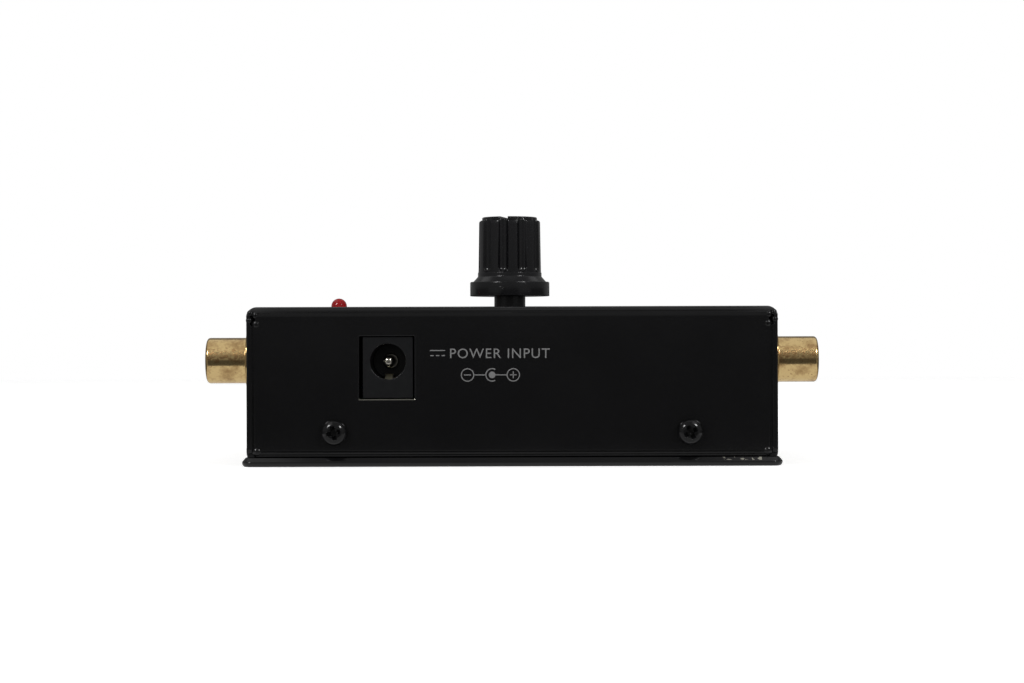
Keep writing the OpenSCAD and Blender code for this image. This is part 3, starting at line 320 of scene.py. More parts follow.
# Where the coat has gone: along the lower edge of the inlet's cut-out, and on the rim at one end
WORN_SILL = ((-27.4, -33.1, 11.9), (-17.4, -32.75, 12.3))
CHIPPED_RIM = ((37, -33.8, 1.1), (44.5, -32.9, 1.65))

LOOKS = {
    "powder_coat": POWDER_COAT,
    "cover_coat": bare_steel_in(POWDER_COAT, "black powder coat worn at the cut-out", WORN_SILL,
                                cell=3, share=0.6),
    "base_coat": bare_steel_in(POWDER_COAT, "black powder coat chipped at its rim", CHIPPED_RIM,
                               cell=0.8, share=0.46),
    "black_screw": black_oxide_steel(),
    "gold_plate": tarnished_gold_plate(),
    "knob_plastic": charcoal_abs(),
    "inlet_plastic": grey_nylon(),
    "lamp_red": red_epoxy(),
    "board_laminate": green_laminate(),
    "ink": grey_screen_ink(),
    "nickel": plated_metal("nickel-plated brass", "#dedacf", "#c2bdb0", 0.16),
    "spring_bronze": plated_metal("tinned phosphor bronze", "#f0ecd8", "#dad4b8", 0.45),
    "zinc_steel": plated_metal("zinc-plated steel", "#c3c7cc", "#9aa0a8", 0.35, 0.8),
    "tinned_copper": plated_metal("tinned copper", "#c6c6c4", "#a3a29e", 0.38),
    "socket_insulator": moulded_plastic("natural nylon", "#dcd8cc", "#cbc6b8", 0.42),
    "red_insulator": moulded_plastic("red nylon", "#b3201f", "#951918", 0.42),
    "shaft_plastic": moulded_plastic("black acetal", "#060607", "#050506", 0.25),
    "rotor_plastic": moulded_plastic("white acetal", "#dedccf", "#cfcbbb", 0.4),
    "wafer": moulded_plastic("brown phenolic paper", "#6b4424", "#52331b", 0.5, 0.3),
    "lamp_spacer": moulded_plastic("white nylon", "#e6e4da", "#d6d3c6", 0.45),
    "chip_plastic": moulded_plastic("black moulding epoxy", "#1b1b1c", "#141415", 0.55, 0.15),
    "sleeve_blue": moulded_plastic("blue vinyl sleeve", "#22346e", "#1b2a5a", 0.3),
    "sleeve_black": moulded_plastic("black vinyl sleeve", "#17171a", "#101012", 0.3),
    "film_red": moulded_plastic("dipped red lacquer", "#9c2a1e", "#802117", 0.25),
    "resistor_blue": moulded_plastic("blue resistor lacquer", "#6a93b3", "#557d9e", 0.35),
}


# Shapes

def object_from(bm, name):
    """A new object with this mesh, linked to the scene."""
    mesh = bpy.data.meshes.new(name)
    bm.to_mesh(mesh)
    bm.free()
    made = bpy.data.objects.new(name, mesh)
    bpy.context.scene.collection.objects.link(made)
    return made


def piece(bm, name, look, stands_for=(), body="chassis", ease=0.0, sharp=35):
    """Finishes a shape made in millimetres: turns it to metres, eases its edges, gives it its look and
    the body that it rides on, and hides the nodes that it stands for."""
    bmesh.ops.scale(bm, vec=(MM, MM, MM), verts=bm.verts)
    made = object_from(bm, name)
    made.data.materials.clear()
    made.data.materials.append(LOOKS[look])
    made.data.shade_smooth()
    if ease:
        eased = made.modifiers.new("eased edges", "BEVEL")
        eased.width = ease * MM
        eased.segments = 3
        eased.limit_method = "ANGLE"
        eased.angle_limit = radians(sharp)
        eased.use_clamp_overlap = False
        flat = made.modifiers.new("flat faces stay flat", "WEIGHTED_NORMAL")
        flat.keep_sharp = True
    else:
        made.data.set_sharp_from_angle(angle=radians(sharp))
    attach(made, body)
    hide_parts(*stands_for)


def shape_of(node):
    """A node's own shape in millimetres, with its loose triangles merged and its flat faces whole."""
    mesh = nodes[node].data.copy()
    stored = mesh.attributes.get("custom_normal")
    if stored:
        mesh.attributes.remove(stored)
    bm = bmesh.new()
    bm.from_mesh(mesh)
    bpy.data.meshes.remove(mesh)
    bmesh.ops.scale(bm, vec=(1 / MM, 1 / MM, 1 / MM), verts=bm.verts)
    bmesh.ops.remove_doubles(bm, verts=bm.verts, dist=0.001)
    bmesh.ops.dissolve_limit(bm, angle_limit=radians(0.6), verts=bm.verts, edges=bm.edges)
    return bm


def turned(profile, steps=96, segments=6):
    """A turned solid round Z. Each point of the profile is a radius, a height and its rounding."""
    bm = bmesh.new()
    points = [bm.verts.new((r, 0, h)) for r, h, _ in profile]
    lines = [bm.edges.new(ends) for ends in zip(points, points[1:])]
    bmesh.ops.spin(bm, geom=points + lines, cent=(0, 0, 0), axis=UP, angle=2 * pi, steps=steps,
                   use_merge=True)
    bmesh.ops.remove_doubles(bm, verts=bm.verts, dist=0.0005)
    bmesh.ops.recalc_face_normals(bm, faces=bm.faces)
    for r, h, rounding in profile:
        if rounding:
            ring = [e for e in bm.edges
                    if all(abs(v.co.xy.length - r) < 0.002 and abs(v.co.z - h) < 0.002 for v in e.verts)]
            bmesh.ops.bevel(bm, geom=ring, offset=rounding, offset_type="OFFSET", affect="EDGES",
                            segments=segments, profile=0.5, material=-1, clamp_overlap=False)
    return bm


def put(bm, at=(0, 0, 0), turn=None):
    """Turns or scales a shape by a matrix, and then moves it."""
    matrix = Matrix.Translation(at) @ (turn or Matrix.Identity(4))
    bmesh.ops.transform(bm, matrix=matrix, verts=bm.verts)
    return bm


def joined(*shapes):
    """Several shapes in one mesh."""
    whole = bmesh.new()
    for bm in shapes:
        mesh = bpy.data.meshes.new("part")
        bm.to_mesh(mesh)
        bm.free()
        whole.from_mesh(mesh)
        bpy.data.meshes.remove(mesh)
    return whole


def cut(bm, tool):
    """Takes one shape out of another."""
    target = object_from(bm, "target")
    cutter = object_from(tool, "cutter")
    boolean = target.modifiers.new("cut", "BOOLEAN")
    boolean.object = cutter
    boolean.operation = "DIFFERENCE"
    boolean.solver = "EXACT"
    result = bmesh.new()
    result.from_object(target, bpy.context.evaluated_depsgraph_get())
    for used in (target, cutter):
        mesh = used.data
        bpy.data.objects.remove(used)
        bpy.data.meshes.remove(mesh)
    bmesh.ops.remove_doubles(result, verts=result.verts, dist=0.0005)
    return result


def block(low, high):
    """A box between two corners."""
    low, high = Vector(low), Vector(high)
    bm = bmesh.new()
    bmesh.ops.create_cube(bm, size=1)
    bmesh.ops.scale(bm, vec=high - low, verts=bm.verts)
    bmesh.ops.translate(bm, vec=(low + high) / 2, verts=bm.verts)
    return bm


def edges_where(bm, test):
    """The edges whose two ends both pass a test."""
    return [e for e in bm.edges if all(test(v.co) for v in e.verts)]


def round_edges(bm, edges, radius, segments=5):
    """Rounds some edges."""
    bmesh.ops.bevel(bm, geom=edges, offset=radius, offset_type="OFFSET", affect="EDGES",
                    segments=segments, profile=0.5, material=-1, clamp_overlap=False)


TURN_TO_FRONT = Matrix.Rotation(pi / 2, 4, "X")
TURN_TO_BACK = Matrix.Rotation(-pi / 2, 4, "X")


# Case
PAINT_BEAD = 0.28
COVER_EASE = 0.12
SITS_LOWER = 0.08
LOWER_BEND_H = 0.8
LOWER_BEND_SHARE = 0.24
LOWER_BEND_STRETCH = 1.35
FLANGE_END_X = 46.25
FLANGE_CORNER = 0.9
SEAM_X = 46.375
SEAM_EDGE = 0.34
SEAM_LEAST_L = 15
SEAM_PAINT_HALF_W = 0.4
SEAM_PAINT_DEPTHS = (0.22, 0.52)
CORNER_PAINT_X = SEAM_X + 0.3
CORNER_PAINT_HALF_W = 0.65
CORNER_PAINT_H = 2
CORNER_PAINT_DEPTHS = (0.3, 1)
RELIEF_CENTRE_Z = 25.65
RELIEF_HALF_W = 0.45
# Each drop of gathered paint: X, Z, radius, and how far in from the front or back its place lies
PAINT_DROPS = ((45.62, 2.7, 1.05, 0), (45.72, 25.5, 0.85, 0), (45.85, 27.1, 0.7, 0.03),
               (46.98, 26.2, 0.6, 0), (46.8, 27.45, 0.6, 0.2))
DROP_SUNK = 0.76
INLET_LOW, INLET_HIGH = box_of("inlet_housing")
# A point this near to a face counts as on it
NEAR = 0.01
# How far a cutter reaches past what it cuts
PAST = 1


def lower_bends(bm):
    """Draws the lower bends of the long flanges shallower, and sets the foot of the cover lower."""
    for v in bm.verts:
        inward = COVER_HIGH.y - abs(v.co.y)
        above = v.co.z - COVER_LOW.z
        if abs(v.co.x) < SEAM_X and max(above, inward) < LOWER_BEND_H + NEAR:
            v.co.y += copysign(inward * (1 - LOWER_BEND_SHARE), v.co.y)
            v.co.z = COVER_LOW.z + above * LOWER_BEND_STRETCH
        if v.co.z < COVER_LOW.z + NEAR:
            v.co.z -= SITS_LOWER


def corner_cutter(sx):
    """What rounds off the lower corners of the two long flanges at one end, and nothing past them."""
    z = COVER_LOW.z
    centre = FLANGE_END_X - FLANGE_CORNER
    in_seam = FLANGE_END_X + 0.1
    steps = 10
    outline = [(in_seam, z - PAST), (centre, z - PAST)]
    for i in range(steps + 1):
        angle = i * pi / 2 / steps
        outline.append((centre + FLANGE_CORNER * sin(angle), z + FLANGE_CORNER * (1 - cos(angle))))
    outline.append((in_seam, z + FLANGE_CORNER))
    bm = bmesh.new()
    face = bm.faces.new([bm.verts.new((sx * x, COVER_LOW.y - PAST, h)) for x, h in outline])
    swept = bmesh.ops.extrude_face_region(bm, geom=[face])["geom"]
    bmesh.ops.translate(bm, vec=(0, COVER_HIGH.y - COVER_LOW.y + 2 * PAST, 0),
                        verts=[v for v in swept if isinstance(v, bmesh.types.BMVert)])
    bmesh.ops.recalc_face_normals(bm, faces=bm.faces)
    return bm


def paint_fill(x, half_w, sy, depths, low_z, high_z):
    """Paint that fills a corner between two depths under the front or back."""
    low_y, high_y = sorted(sy * (COVER_HIGH.y - depth) for depth in depths)
    return block((x - half_w, low_y, low_z), (x + half_w, high_y, high_z))


def paint_drop(x, y, z, r):
    """A drop of gathered paint on the front or back, sunk so that only its cap stands out."""
    bm = bmesh.new()
    bmesh.ops.create_uvsphere(bm, u_segments=32, v_segments=16, radius=r)
    return put(bm, (x, y - copysign(r * DROP_SUNK, y), z))


def top_cover():
    """The folded cover, pressed down onto the base. The paint eases its cut edges, stands in a fuller
    bead round the cut-out of the power inlet, and has run into the seams and gathered in drops."""
    bm = shape_of("top_cover")
    lower_bends(bm)
    at_seams = edges_where(bm, lambda co: abs(co.x) > FLANGE_END_X - NEAR
                           and COVER_HIGH.y - abs(co.y) < NEAR)
    upright = [e for e in at_seams if abs(e.verts[0].co.z - e.verts[1].co.z) > SEAM_LEAST_L]
    round_edges(bm, upright, SEAM_EDGE)
    reach = 1
    bead = edges_where(bm, lambda co: abs(co.y - COVER_LOW.y) < NEAR
                       and INLET_LOW.x - reach < co.x < INLET_HIGH.x + reach
                       and INLET_LOW.z - reach < co.z < INLET_HIGH.z + reach)
    round_edges(bm, bead, PAINT_BEAD)
    paint = []
    drops = []
    for sx in (-1, 1):
        bm = cut(bm, corner_cutter(sx))
        for sy in (-1, 1):
            paint.append(paint_fill(sx * SEAM_X, SEAM_PAINT_HALF_W, sy, SEAM_PAINT_DEPTHS,
                                    COVER_LOW.z + FLANGE_CORNER, RELIEF_CENTRE_Z - RELIEF_HALF_W))
            paint.append(paint_fill(sx * CORNER_PAINT_X, CORNER_PAINT_HALF_W, sy, CORNER_PAINT_DEPTHS,
                                    COVER_LOW.z - SITS_LOWER, COVER_LOW.z + CORNER_PAINT_H))
            for x, z, r, inward in PAINT_DROPS:
                drops.append(paint_drop(sx * x, sy * (COVER_HIGH.y - inward), z, r))
    piece(joined(bm, *paint), "cover_shell", "cover_coat", ["top_cover"], ease=COVER_EASE)
    piece(joined(*drops), "paint_drops", "powder_coat")


# Base
BASE_HIGH = box_of("base_plate")[1]
BASE_CORNER_R = 2
BASE_SHEET = 1.6
RIM_W = 1
NOSE_REACH = 0.62
NOSE_ROUNDING = 0.15


def frame_round_base(section):
    """A closed frame that follows the base's outline. Each point of its section is a distance inwards
    from that outline and a height."""
    bm = bmesh.new()
    steps = 12
    loops = []
    for inward, z in section:
        loop = []
        for corner, (sx, sy) in enumerate(((1, 1), (-1, 1), (-1, -1), (1, -1))):
            for i in range(steps + 1):
                angle = (corner + i / steps) * pi / 2
                x = sx * (BASE_HIGH.x - BASE_CORNER_R) + (BASE_CORNER_R - inward) * cos(angle)
                y = sy * (BASE_HIGH.y - BASE_CORNER_R) + (BASE_CORNER_R - inward) * sin(angle)
                loop.append(bm.verts.new((x, y, z)))
        loops.append(loop)
    for low, high in zip(loops, loops[1:] + loops[:1]):
        for i, corner in enumerate(low):
            after = (i + 1) % len(low)
            bm.faces.new((corner, low[after], high[after], high[i]))
    bmesh.ops.recalc_face_normals(bm, faces=bm.faces)
    return bm


def base_panel():
    """The flat base with its two strips. Its rim comes to a blunt point half way up, like a bow, and is
    rounder below."""
    half = BASE_SHEET / 2
    rows = 12
    section = [(RIM_W, 0)]
    for i in range(rows):
        angle = pi / 2 * (1 - i / rows)
        section.append((NOSE_REACH * (1 - cos(angle)), half * (1 - sin(angle))))
    full = sqrt(1 + NOSE_ROUNDING ** 2) - NOSE_ROUNDING
    for i in range(rows + 1):
        share = (sqrt((i / rows) ** 2 + NOSE_ROUNDING ** 2) - NOSE_ROUNDING) / full
        section.append((NOSE_REACH * share, half * (1 + i / rows)))
    section.append((RIM_W, BASE_SHEET))
    low, high = -PAST, 3 * PAST
    around = frame_round_base([(-RIM_W, low), (RIM_W, low), (RIM_W, high), (-RIM_W, high)])
    plate = cut(shape_of("base_plate"), around)
    bmesh.ops.dissolve_limit(plate, angle_limit=radians(0.6), verts=plate.verts, edges=plate.edges)
    piece(joined(plate, frame_round_base(section)), "base_panel", "base_coat", ["base_plate"], sharp=40)


# Case screws
SCREW_LOW, SCREW_HIGH = box_of("case_screws")
SCREW_D = 2.5
SCREW_HEAD_D = 4.8
SCREW_HEAD_H = COVER_LOW.y - SCREW_LOW.y
SCREW_LENGTH = 5
SCREW_CROWN_R = 0.95
SCREW_RIM_H = 0.35
SCREW_FOOT_TAPER = 0.12
SCREW_FOOT_EDGE = 0.1
SCREW_TIP_TAPER = 0.3
THREAD_FROM = 0.4
THREAD_PITCH = 0.45
THREAD_DEPTH = 0.22
RECESS_REACH = 1.6
RECESS_W = 0.9
RECESS_DEPTH = 1.25
RECESS_FLOOR_SHARE = (0.35, 0.6)
SCREW_TURNS = {-1: 12, 1: 28}


def screw():
    """A pan-head screw that stands on Z = 0, with a domed shoulder, a tapered cross and its thread."""
    rim = SCREW_HEAD_D / 2
    dome = [(0, SCREW_HEAD_H, 0)]
    arc_w, arc_h = rim - SCREW_CROWN_R, SCREW_HEAD_H - SCREW_RIM_H
    steps = 10
    for i in range(steps + 1):
        angle = radians(90 - i * 90 / steps)
        dome.append((SCREW_CROWN_R + arc_w * cos(angle), SCREW_RIM_H + arc_h * sin(angle), 0))
    profile = dome + [(rim - SCREW_FOOT_TAPER, 0, SCREW_FOOT_EDGE), (SCREW_D / 2, 0, 0)]
    for i in range(int(SCREW_LENGTH / THREAD_PITCH) - 1):
        h = -THREAD_FROM - i * THREAD_PITCH
        profile += [(SCREW_D / 2 - THREAD_DEPTH, h, 0), (SCREW_D / 2, h - THREAD_PITCH / 2, 0)]
    profile += [(SCREW_D / 2 - SCREW_TIP_TAPER, -SCREW_LENGTH, 0), (0, -SCREW_LENGTH, 0)]
    bm = turned(profile, steps=64)
    for turn in (0, pi / 2):
        arm = block((-RECESS_REACH, -RECESS_W / 2, SCREW_HEAD_H - RECESS_DEPTH),
                    (RECESS_REACH, RECESS_W / 2, SCREW_HEAD_H + PAST / 2))
        for v in arm.verts:
            if v.co.z < SCREW_HEAD_H:
                v.co.x *= RECESS_FLOOR_SHARE[0]
                v.co.y *= RECESS_FLOOR_SHARE[1]
        bm = cut(bm, put(arm, turn=Matrix.Rotation(turn, 4, "Z")))
    return bm


def case_screws():
    """Two screws on each long side."""
    inset = SCREW_HEAD_D / 2
    shapes = []
    for sx, x in ((-1, SCREW_LOW.x + inset), (1, SCREW_HIGH.x - inset)):
        for sy, turn in ((-1, TURN_TO_FRONT), (1, TURN_TO_BACK)):
            y = COVER_LOW.y if sy < 0 else COVER_HIGH.y
            spun = turn @ Matrix.Rotation(radians(SCREW_TURNS[sx]), 4, "Z")
            shapes.append(put(screw(), (x, y, (SCREW_LOW.z + SCREW_HIGH.z) / 2), spun))
    piece(joined(*shapes), "pan_head_screws", "black_screw", ["case_screws"], ease=0.04, sharp=32)


# Power inlet
LEAF_SHARE = 0.62


def power_inlet():
    """Housing, centre pin and sprung sleeve contact, with moulded and stamped edges. The leaf that
    shows in the bore is slimmer than the solid."""
    piece(shape_of("inlet_housing"), "inlet_body", "inlet_plastic", ["inlet_housing"], ease=0.12)
    piece(shape_of("inlet_pin"), "inlet_centre_pin", "nickel", ["inlet_pin"], ease=0.06)
    leaf = shape_of("inlet_spring")
    low, high = box_of("inlet_spring")
    middle = (low.x + high.x) / 2
    for v in leaf.verts:
        v.co.x = middle + (v.co.x - middle) * LEAF_SHARE
    piece(leaf, "inlet_leaf_spring", "spring_bronze", ["inlet_spring"],
          body="inlet_leaf", ease=0.07, sharp=20)


# Phono sockets: sizes along the socket's axis are measured from the cover's side
BARREL_D = 8.45
BARREL_BORE = 7.2
FLANGE_D = 11.5
FLANGE_T = 1.5
NECK_D = 8
NECK_BORE = 6
NECK_L = 5
NECK_PITCH = 0.75
NECK_THREAD_FROM = 0.2
NECK_THREAD_DEPTH = 0.25
RIM_ROUNDING = 0.58
INSULATOR_RECESS = 1.2
INSULATOR_LIP = 0.8
INSULATOR_END = -NECK_L - 1
PLUG_HOLE_R = 1.8
CONTACT_D = 4.2
FIT = 0.05


def socket_pieces(side, sx, channel):
    """Barrel, insulator and slotted contact of one phono socket."""
    name = f"{side}_{channel}"
    low, high = box_of(f"{name}_barrel")
    centre = (low + high) / 2
    rim = high.x - COVER_HIGH.x if sx > 0 else COVER_LOW.x - low.x
    turn = Matrix.Rotation(sx * pi / 2, 4, "Y")
    at = (sx * COVER_HIGH.x, centre.y, centre.z)

    thread = []
    for i in range(int(NECK_L / NECK_PITCH)):
        h = -NECK_THREAD_FROM - i * NECK_PITCH
        thread += [(NECK_D / 2, h, 0), (NECK_D / 2 - NECK_THREAD_DEPTH, h - NECK_PITCH / 2, 0)]
    barrel = [(BARREL_BORE / 2, rim, 0.05), (BARREL_D / 2, rim, RIM_ROUNDING),
              (BARREL_D / 2, FLANGE_T, 0.2), (FLANGE_D / 2, FLANGE_T, 0.3), (FLANGE_D / 2, 0, 0.1),
              (NECK_D / 2, 0, 0)] + thread + [
              (NECK_D / 2, -NECK_L, 0), (NECK_BORE / 2, -NECK_L, 0), (NECK_BORE / 2, FLANGE_T, 0),
              (BARREL_BORE / 2, FLANGE_T, 0), (BARREL_BORE / 2, rim, 0)]
    piece(put(turned(barrel), at, turn), f"{name}_shell", "gold_plate", [f"{name}_barrel"], sharp=25)

    face = rim - INSULATOR_RECESS
    plug = [(PLUG_HOLE_R, face, 0.15), (BARREL_BORE / 2 - FIT, face, 0.15),
            (BARREL_BORE / 2 - FIT, FLANGE_T + FIT, 0), (NECK_BORE / 2 - FIT, FLANGE_T + FIT, 0),
            (NECK_BORE / 2 - FIT, INSULATOR_END, 0), (CONTACT_D / 2 + FIT, INSULATOR_END, 0),
            (CONTACT_D / 2 + FIT, face - INSULATOR_LIP, 0), (PLUG_HOLE_R, face - INSULATOR_LIP, 0),
            (PLUG_HOLE_R, face, 0)]
    look = "red_insulator" if channel == "right" else "socket_insulator"
    piece(put(turned(plug), at, turn), f"{name}_plug", look, [f"{name}_insulator"], sharp=25)
    piece(shape_of(f"{name}_contact"), f"{name}_tube", "gold_plate", [f"{name}_contact"], ease=0.05)


# Volume knob: heights are measured from the knob's underside
KNOB_LOW, KNOB_HIGH = box_of("volume_knob")
KNOB_AXIS = (box_of("control_rotor")[0] + box_of("control_rotor")[1]) / 2
KNOB_H = KNOB_HIGH.z - KNOB_LOW.z
KNOB_FLANGE_D = 15.3
KNOB_FLANGE_H = 2.75
KNOB_FLANGE_EDGE = 0.22
KNOB_CONE_D = 14.1
KNOB_LIP_D = 12.3
KNOB_LIP_FOOT = 3.75
KNOB_LIP_TOP = 4.5
KNOB_GRIP_D = 12.1
KNOB_GRIP_TOP_D = 11.8
KNOB_GRIP_FOOT = KNOB_LIP_TOP + 0.05
KNOB_SHOULDER = 0.4
KNOB_SHOULDER_ARC = (0.12, 0.28)
KNOB_DISC_D = 10.6
KNOB_DISC_H = 0.6
KNOB_DISC_FILLET = 0.02
KNOB_BORE_D = 6.1
KNOB_BORE_L = 11.5
FLUTES = 10
FLUTE_R = 1
FLUTE_FLOOR = 5.2
FLUTE_FOOT = 4.5
FLUTE_EDGE = 0.22
POINTER_ANGLE = -102
DISC_GROOVE_W = 1.5
DISC_GROOVE_H = 0.45
POINTER_W = 0.8
POINTER_ROOT = 1
POINTER_LOW = 0.3
POINTER_HIGH = 1.8
POINTER_STANDS_OUT = 0.2
POINTER_EDGE = 0.15


def press_flutes(bm):
    """Presses the flutes into the grip: parallel grooves with a half-round floor, a round lower end and
    soft edges."""
    axis_r = FLUTE_FLOOR + FLUTE_R
    step = 2 * pi / FLUTES
    for v in bm.verts:
        r = v.co.xy.length
        if v.co.z < FLUTE_FOOT or r < FLUTE_FLOOR - FLUTE_EDGE:
            continue
        angle = (atan2(v.co.y, v.co.x) + step / 2) % step - step / 2
        below = min(0, v.co.z - FLUTE_FOOT - FLUTE_R)
        reach = FLUTE_R ** 2 - below ** 2 - (axis_r * sin(angle)) ** 2
        if reach <= 0:
            continue
        floor = axis_r * cos(angle) - sqrt(reach)
        soft = max(FLUTE_EDGE - abs(floor - r), 0)
        pressed = min(floor, r) - soft ** 2 / FLUTE_EDGE / 4
        v.co.xy *= pressed / r


def volume_knob():
    """Moulded knob: flange with its pointer rib, cone, lip, fluted grip, and a raised disc with a groove
    across it."""
    top = KNOB_H - KNOB_DISC_H
    shoulder = top - KNOB_SHOULDER
    grip = []
    rows = 40
    for i in range(rows + 1):
        share = (i / rows) ** 2
        grip.append(((KNOB_GRIP_D + (KNOB_GRIP_TOP_D - KNOB_GRIP_D) * share) / 2,
                     KNOB_GRIP_FOOT + (shoulder - KNOB_GRIP_FOOT) * share, 0))
    bm = turned([(KNOB_BORE_D / 2, 0, 0.2), (KNOB_FLANGE_D / 2, 0, 0.12),
                 (KNOB_FLANGE_D / 2, KNOB_FLANGE_H, KNOB_FLANGE_EDGE),
                 (KNOB_CONE_D / 2, KNOB_FLANGE_H, 0),
                 (KNOB_LIP_D / 2, KNOB_LIP_FOOT, 0.1), (KNOB_LIP_D / 2, KNOB_LIP_TOP, 0.06)] + grip + [
                 (KNOB_GRIP_TOP_D / 2 - KNOB_SHOULDER_ARC[0], shoulder + KNOB_SHOULDER_ARC[1], 0),
                 (KNOB_GRIP_TOP_D / 2 - KNOB_SHOULDER, top, 0),
                 (KNOB_DISC_D / 2 + KNOB_DISC_FILLET, top, 0),
                 (KNOB_DISC_D / 2, top + KNOB_DISC_FILLET, 0), (KNOB_DISC_D / 2, KNOB_H, 0.2),
                 (0, KNOB_H, 0),
                 (0, KNOB_BORE_L, 0), (KNOB_BORE_D / 2, KNOB_BORE_L, 0), (KNOB_BORE_D / 2, 0, 0)],
                steps=480, segments=4)
    press_flutes(bm)
    groove = block((-KNOB_DISC_D, -DISC_GROOVE_W / 2, KNOB_H - DISC_GROOVE_H),
                   (KNOB_DISC_D, DISC_GROOVE_W / 2, KNOB_H + PAST))
    bm = cut(bm, groove)
    rib = block((KNOB_FLANGE_D / 2 - POINTER_ROOT, -POINTER_W / 2, POINTER_LOW),
                (KNOB_FLANGE_D / 2 + POINTER_STANDS_OUT, POINTER_W / 2, POINTER_HIGH))
    outer = edges_where(rib, lambda co: co.x > KNOB_FLANGE_D / 2)
    round_edges(rib, outer, POINTER_EDGE, segments=3)
    turn = Matrix.Rotation(radians(POINTER_ANGLE), 4, "Z")
    at = (KNOB_AXIS.x, KNOB_AXIS.y, KNOB_LOW.z)
    piece(put(joined(bm, rib), at, turn), "fluted_knob", "knob_plastic", ["volume_knob"], body="knob",
          sharp=38)


# Lamp
LAMP_LOW, LAMP_HIGH = box_of("lamp_lens")
LAMP_D = 3
LAMP_RIM_H = 1


def lamp():
    """The lamp's lens: a rim, a barrel and a dome."""
    height = LAMP_HIGH.z - LAMP_LOW.z
    r = LAMP_D / 2
    rim_r = (LAMP_HIGH.x - LAMP_LOW.x) / 2
    centre = (LAMP_LOW + LAMP_HIGH) / 2
    dome = [(r * cos(radians(a)), height - r + r * sin(radians(a)), 0) for a in range(0, 90, 9)]
    profile = [(0, 0, 0), (rim_r, 0, 0.1), (rim_r, LAMP_RIM_H, 0.1), (r, LAMP_RIM_H, 0)]
    lens = turned(profile + dome + [(0, height, 0)], steps=64)
    piece(put(lens, (centre.x, centre.y, LAMP_LOW.z)), "lamp_dome", "lamp_red", ["lamp_lens"], sharp=40)


# Printed marks
INK_T = 0.02
INK_LINE = 0.18
MARK_LEFT = -14.64
SUPPLY_MARK_W = 2.68
SUPPLY_DASH_L = SUPPLY_MARK_W / 4.2
SUPPLY_BAR_Z = 20.73
SUPPLY_DASH_Z = 19.82
LABEL_LEFT = -11.25
LABEL_Z = 19.35
LABEL_H = 1.75
LABEL_SPACING = 1.12
POLARITY_Z = 16.35
POLARITY_R = 1.11
POLARITY_GAP = 0.1
POLARITY_ARM = POLARITY_R * 0.55
POLARITY_X = (-7.96, -3.57, 0.21)
CENTRE_DOT_R = 0.6


def bar(x1, x2, y, w=INK_LINE):
    """A printed line along X."""
    return block((x1, y - w / 2, 0), (x2, y + w / 2, INK_T))


def hoop(x, y, r, sweep=360, start=0):
    """A printed circle, or an arc of one between two angles in degrees."""
    bm = bmesh.new()
    inner, outer = r - INK_LINE / 2, r + INK_LINE / 2
    section = [bm.verts.new(co) for co in ((inner, 0, 0), (outer, 0, 0), (outer, 0, INK_T),
                                           (inner, 0, INK_T))]
    if sweep < 360:
        bm.faces.new(section)
        geom = list(bm.faces)
    else:
        geom = section + [bm.edges.new(ends) for ends in zip(section, section[1:] + section[:1])]
    bmesh.ops.spin(bm, geom=geom, cent=(0, 0, 0), axis=UP, angle=radians(sweep), steps=48,
                   use_merge=sweep == 360)
    bmesh.ops.remove_doubles(bm, verts=bm.verts, dist=0.0005)
    bmesh.ops.recalc_face_normals(bm, faces=bm.faces)
    return put(bm, (x, y, 0), Matrix.Rotation(radians(start), 4, "Z"))


def dot(x, y, r):
    """A printed spot."""
    return put(turned([(0, 0, 0), (r, 0, 0), (r, INK_T, 0), (0, INK_T, 0)], steps=32), (x, y, 0))


def words(text, height, x=0.0, y=0.0, align="LEFT", turn=0.0, spacing=1.0):
    """Printed letters or figures whose capitals have this height."""
    capital_share = 0.7
    curve = bpy.data.curves.new("letters", "FONT")
    curve.body = text
    curve.size = height / capital_share
    curve.align_x = align
    curve.space_character = spacing
    curve.extrude = INK_T / 2
    curve.resolution_u = 4
    made = bpy.data.objects.new("letters", curve)
    bpy.context.scene.collection.objects.link(made)
    filled = bpy.data.meshes.new_from_object(made.evaluated_get(bpy.context.evaluated_depsgraph_get()))
    bm = bmesh.new()
    bm.from_mesh(filled)
    bpy.data.meshes.remove(filled)
    bpy.data.objects.remove(made)
    bpy.data.curves.remove(curve)
    bmesh.ops.remove_doubles(bm, verts=bm.verts, dist=0.0005)
    bmesh.ops.translate(bm, vec=(0, 0, INK_T / 2), verts=bm.verts)
    return put(bm, (x, y, 0), Matrix.Rotation(turn, 4, "Z"))


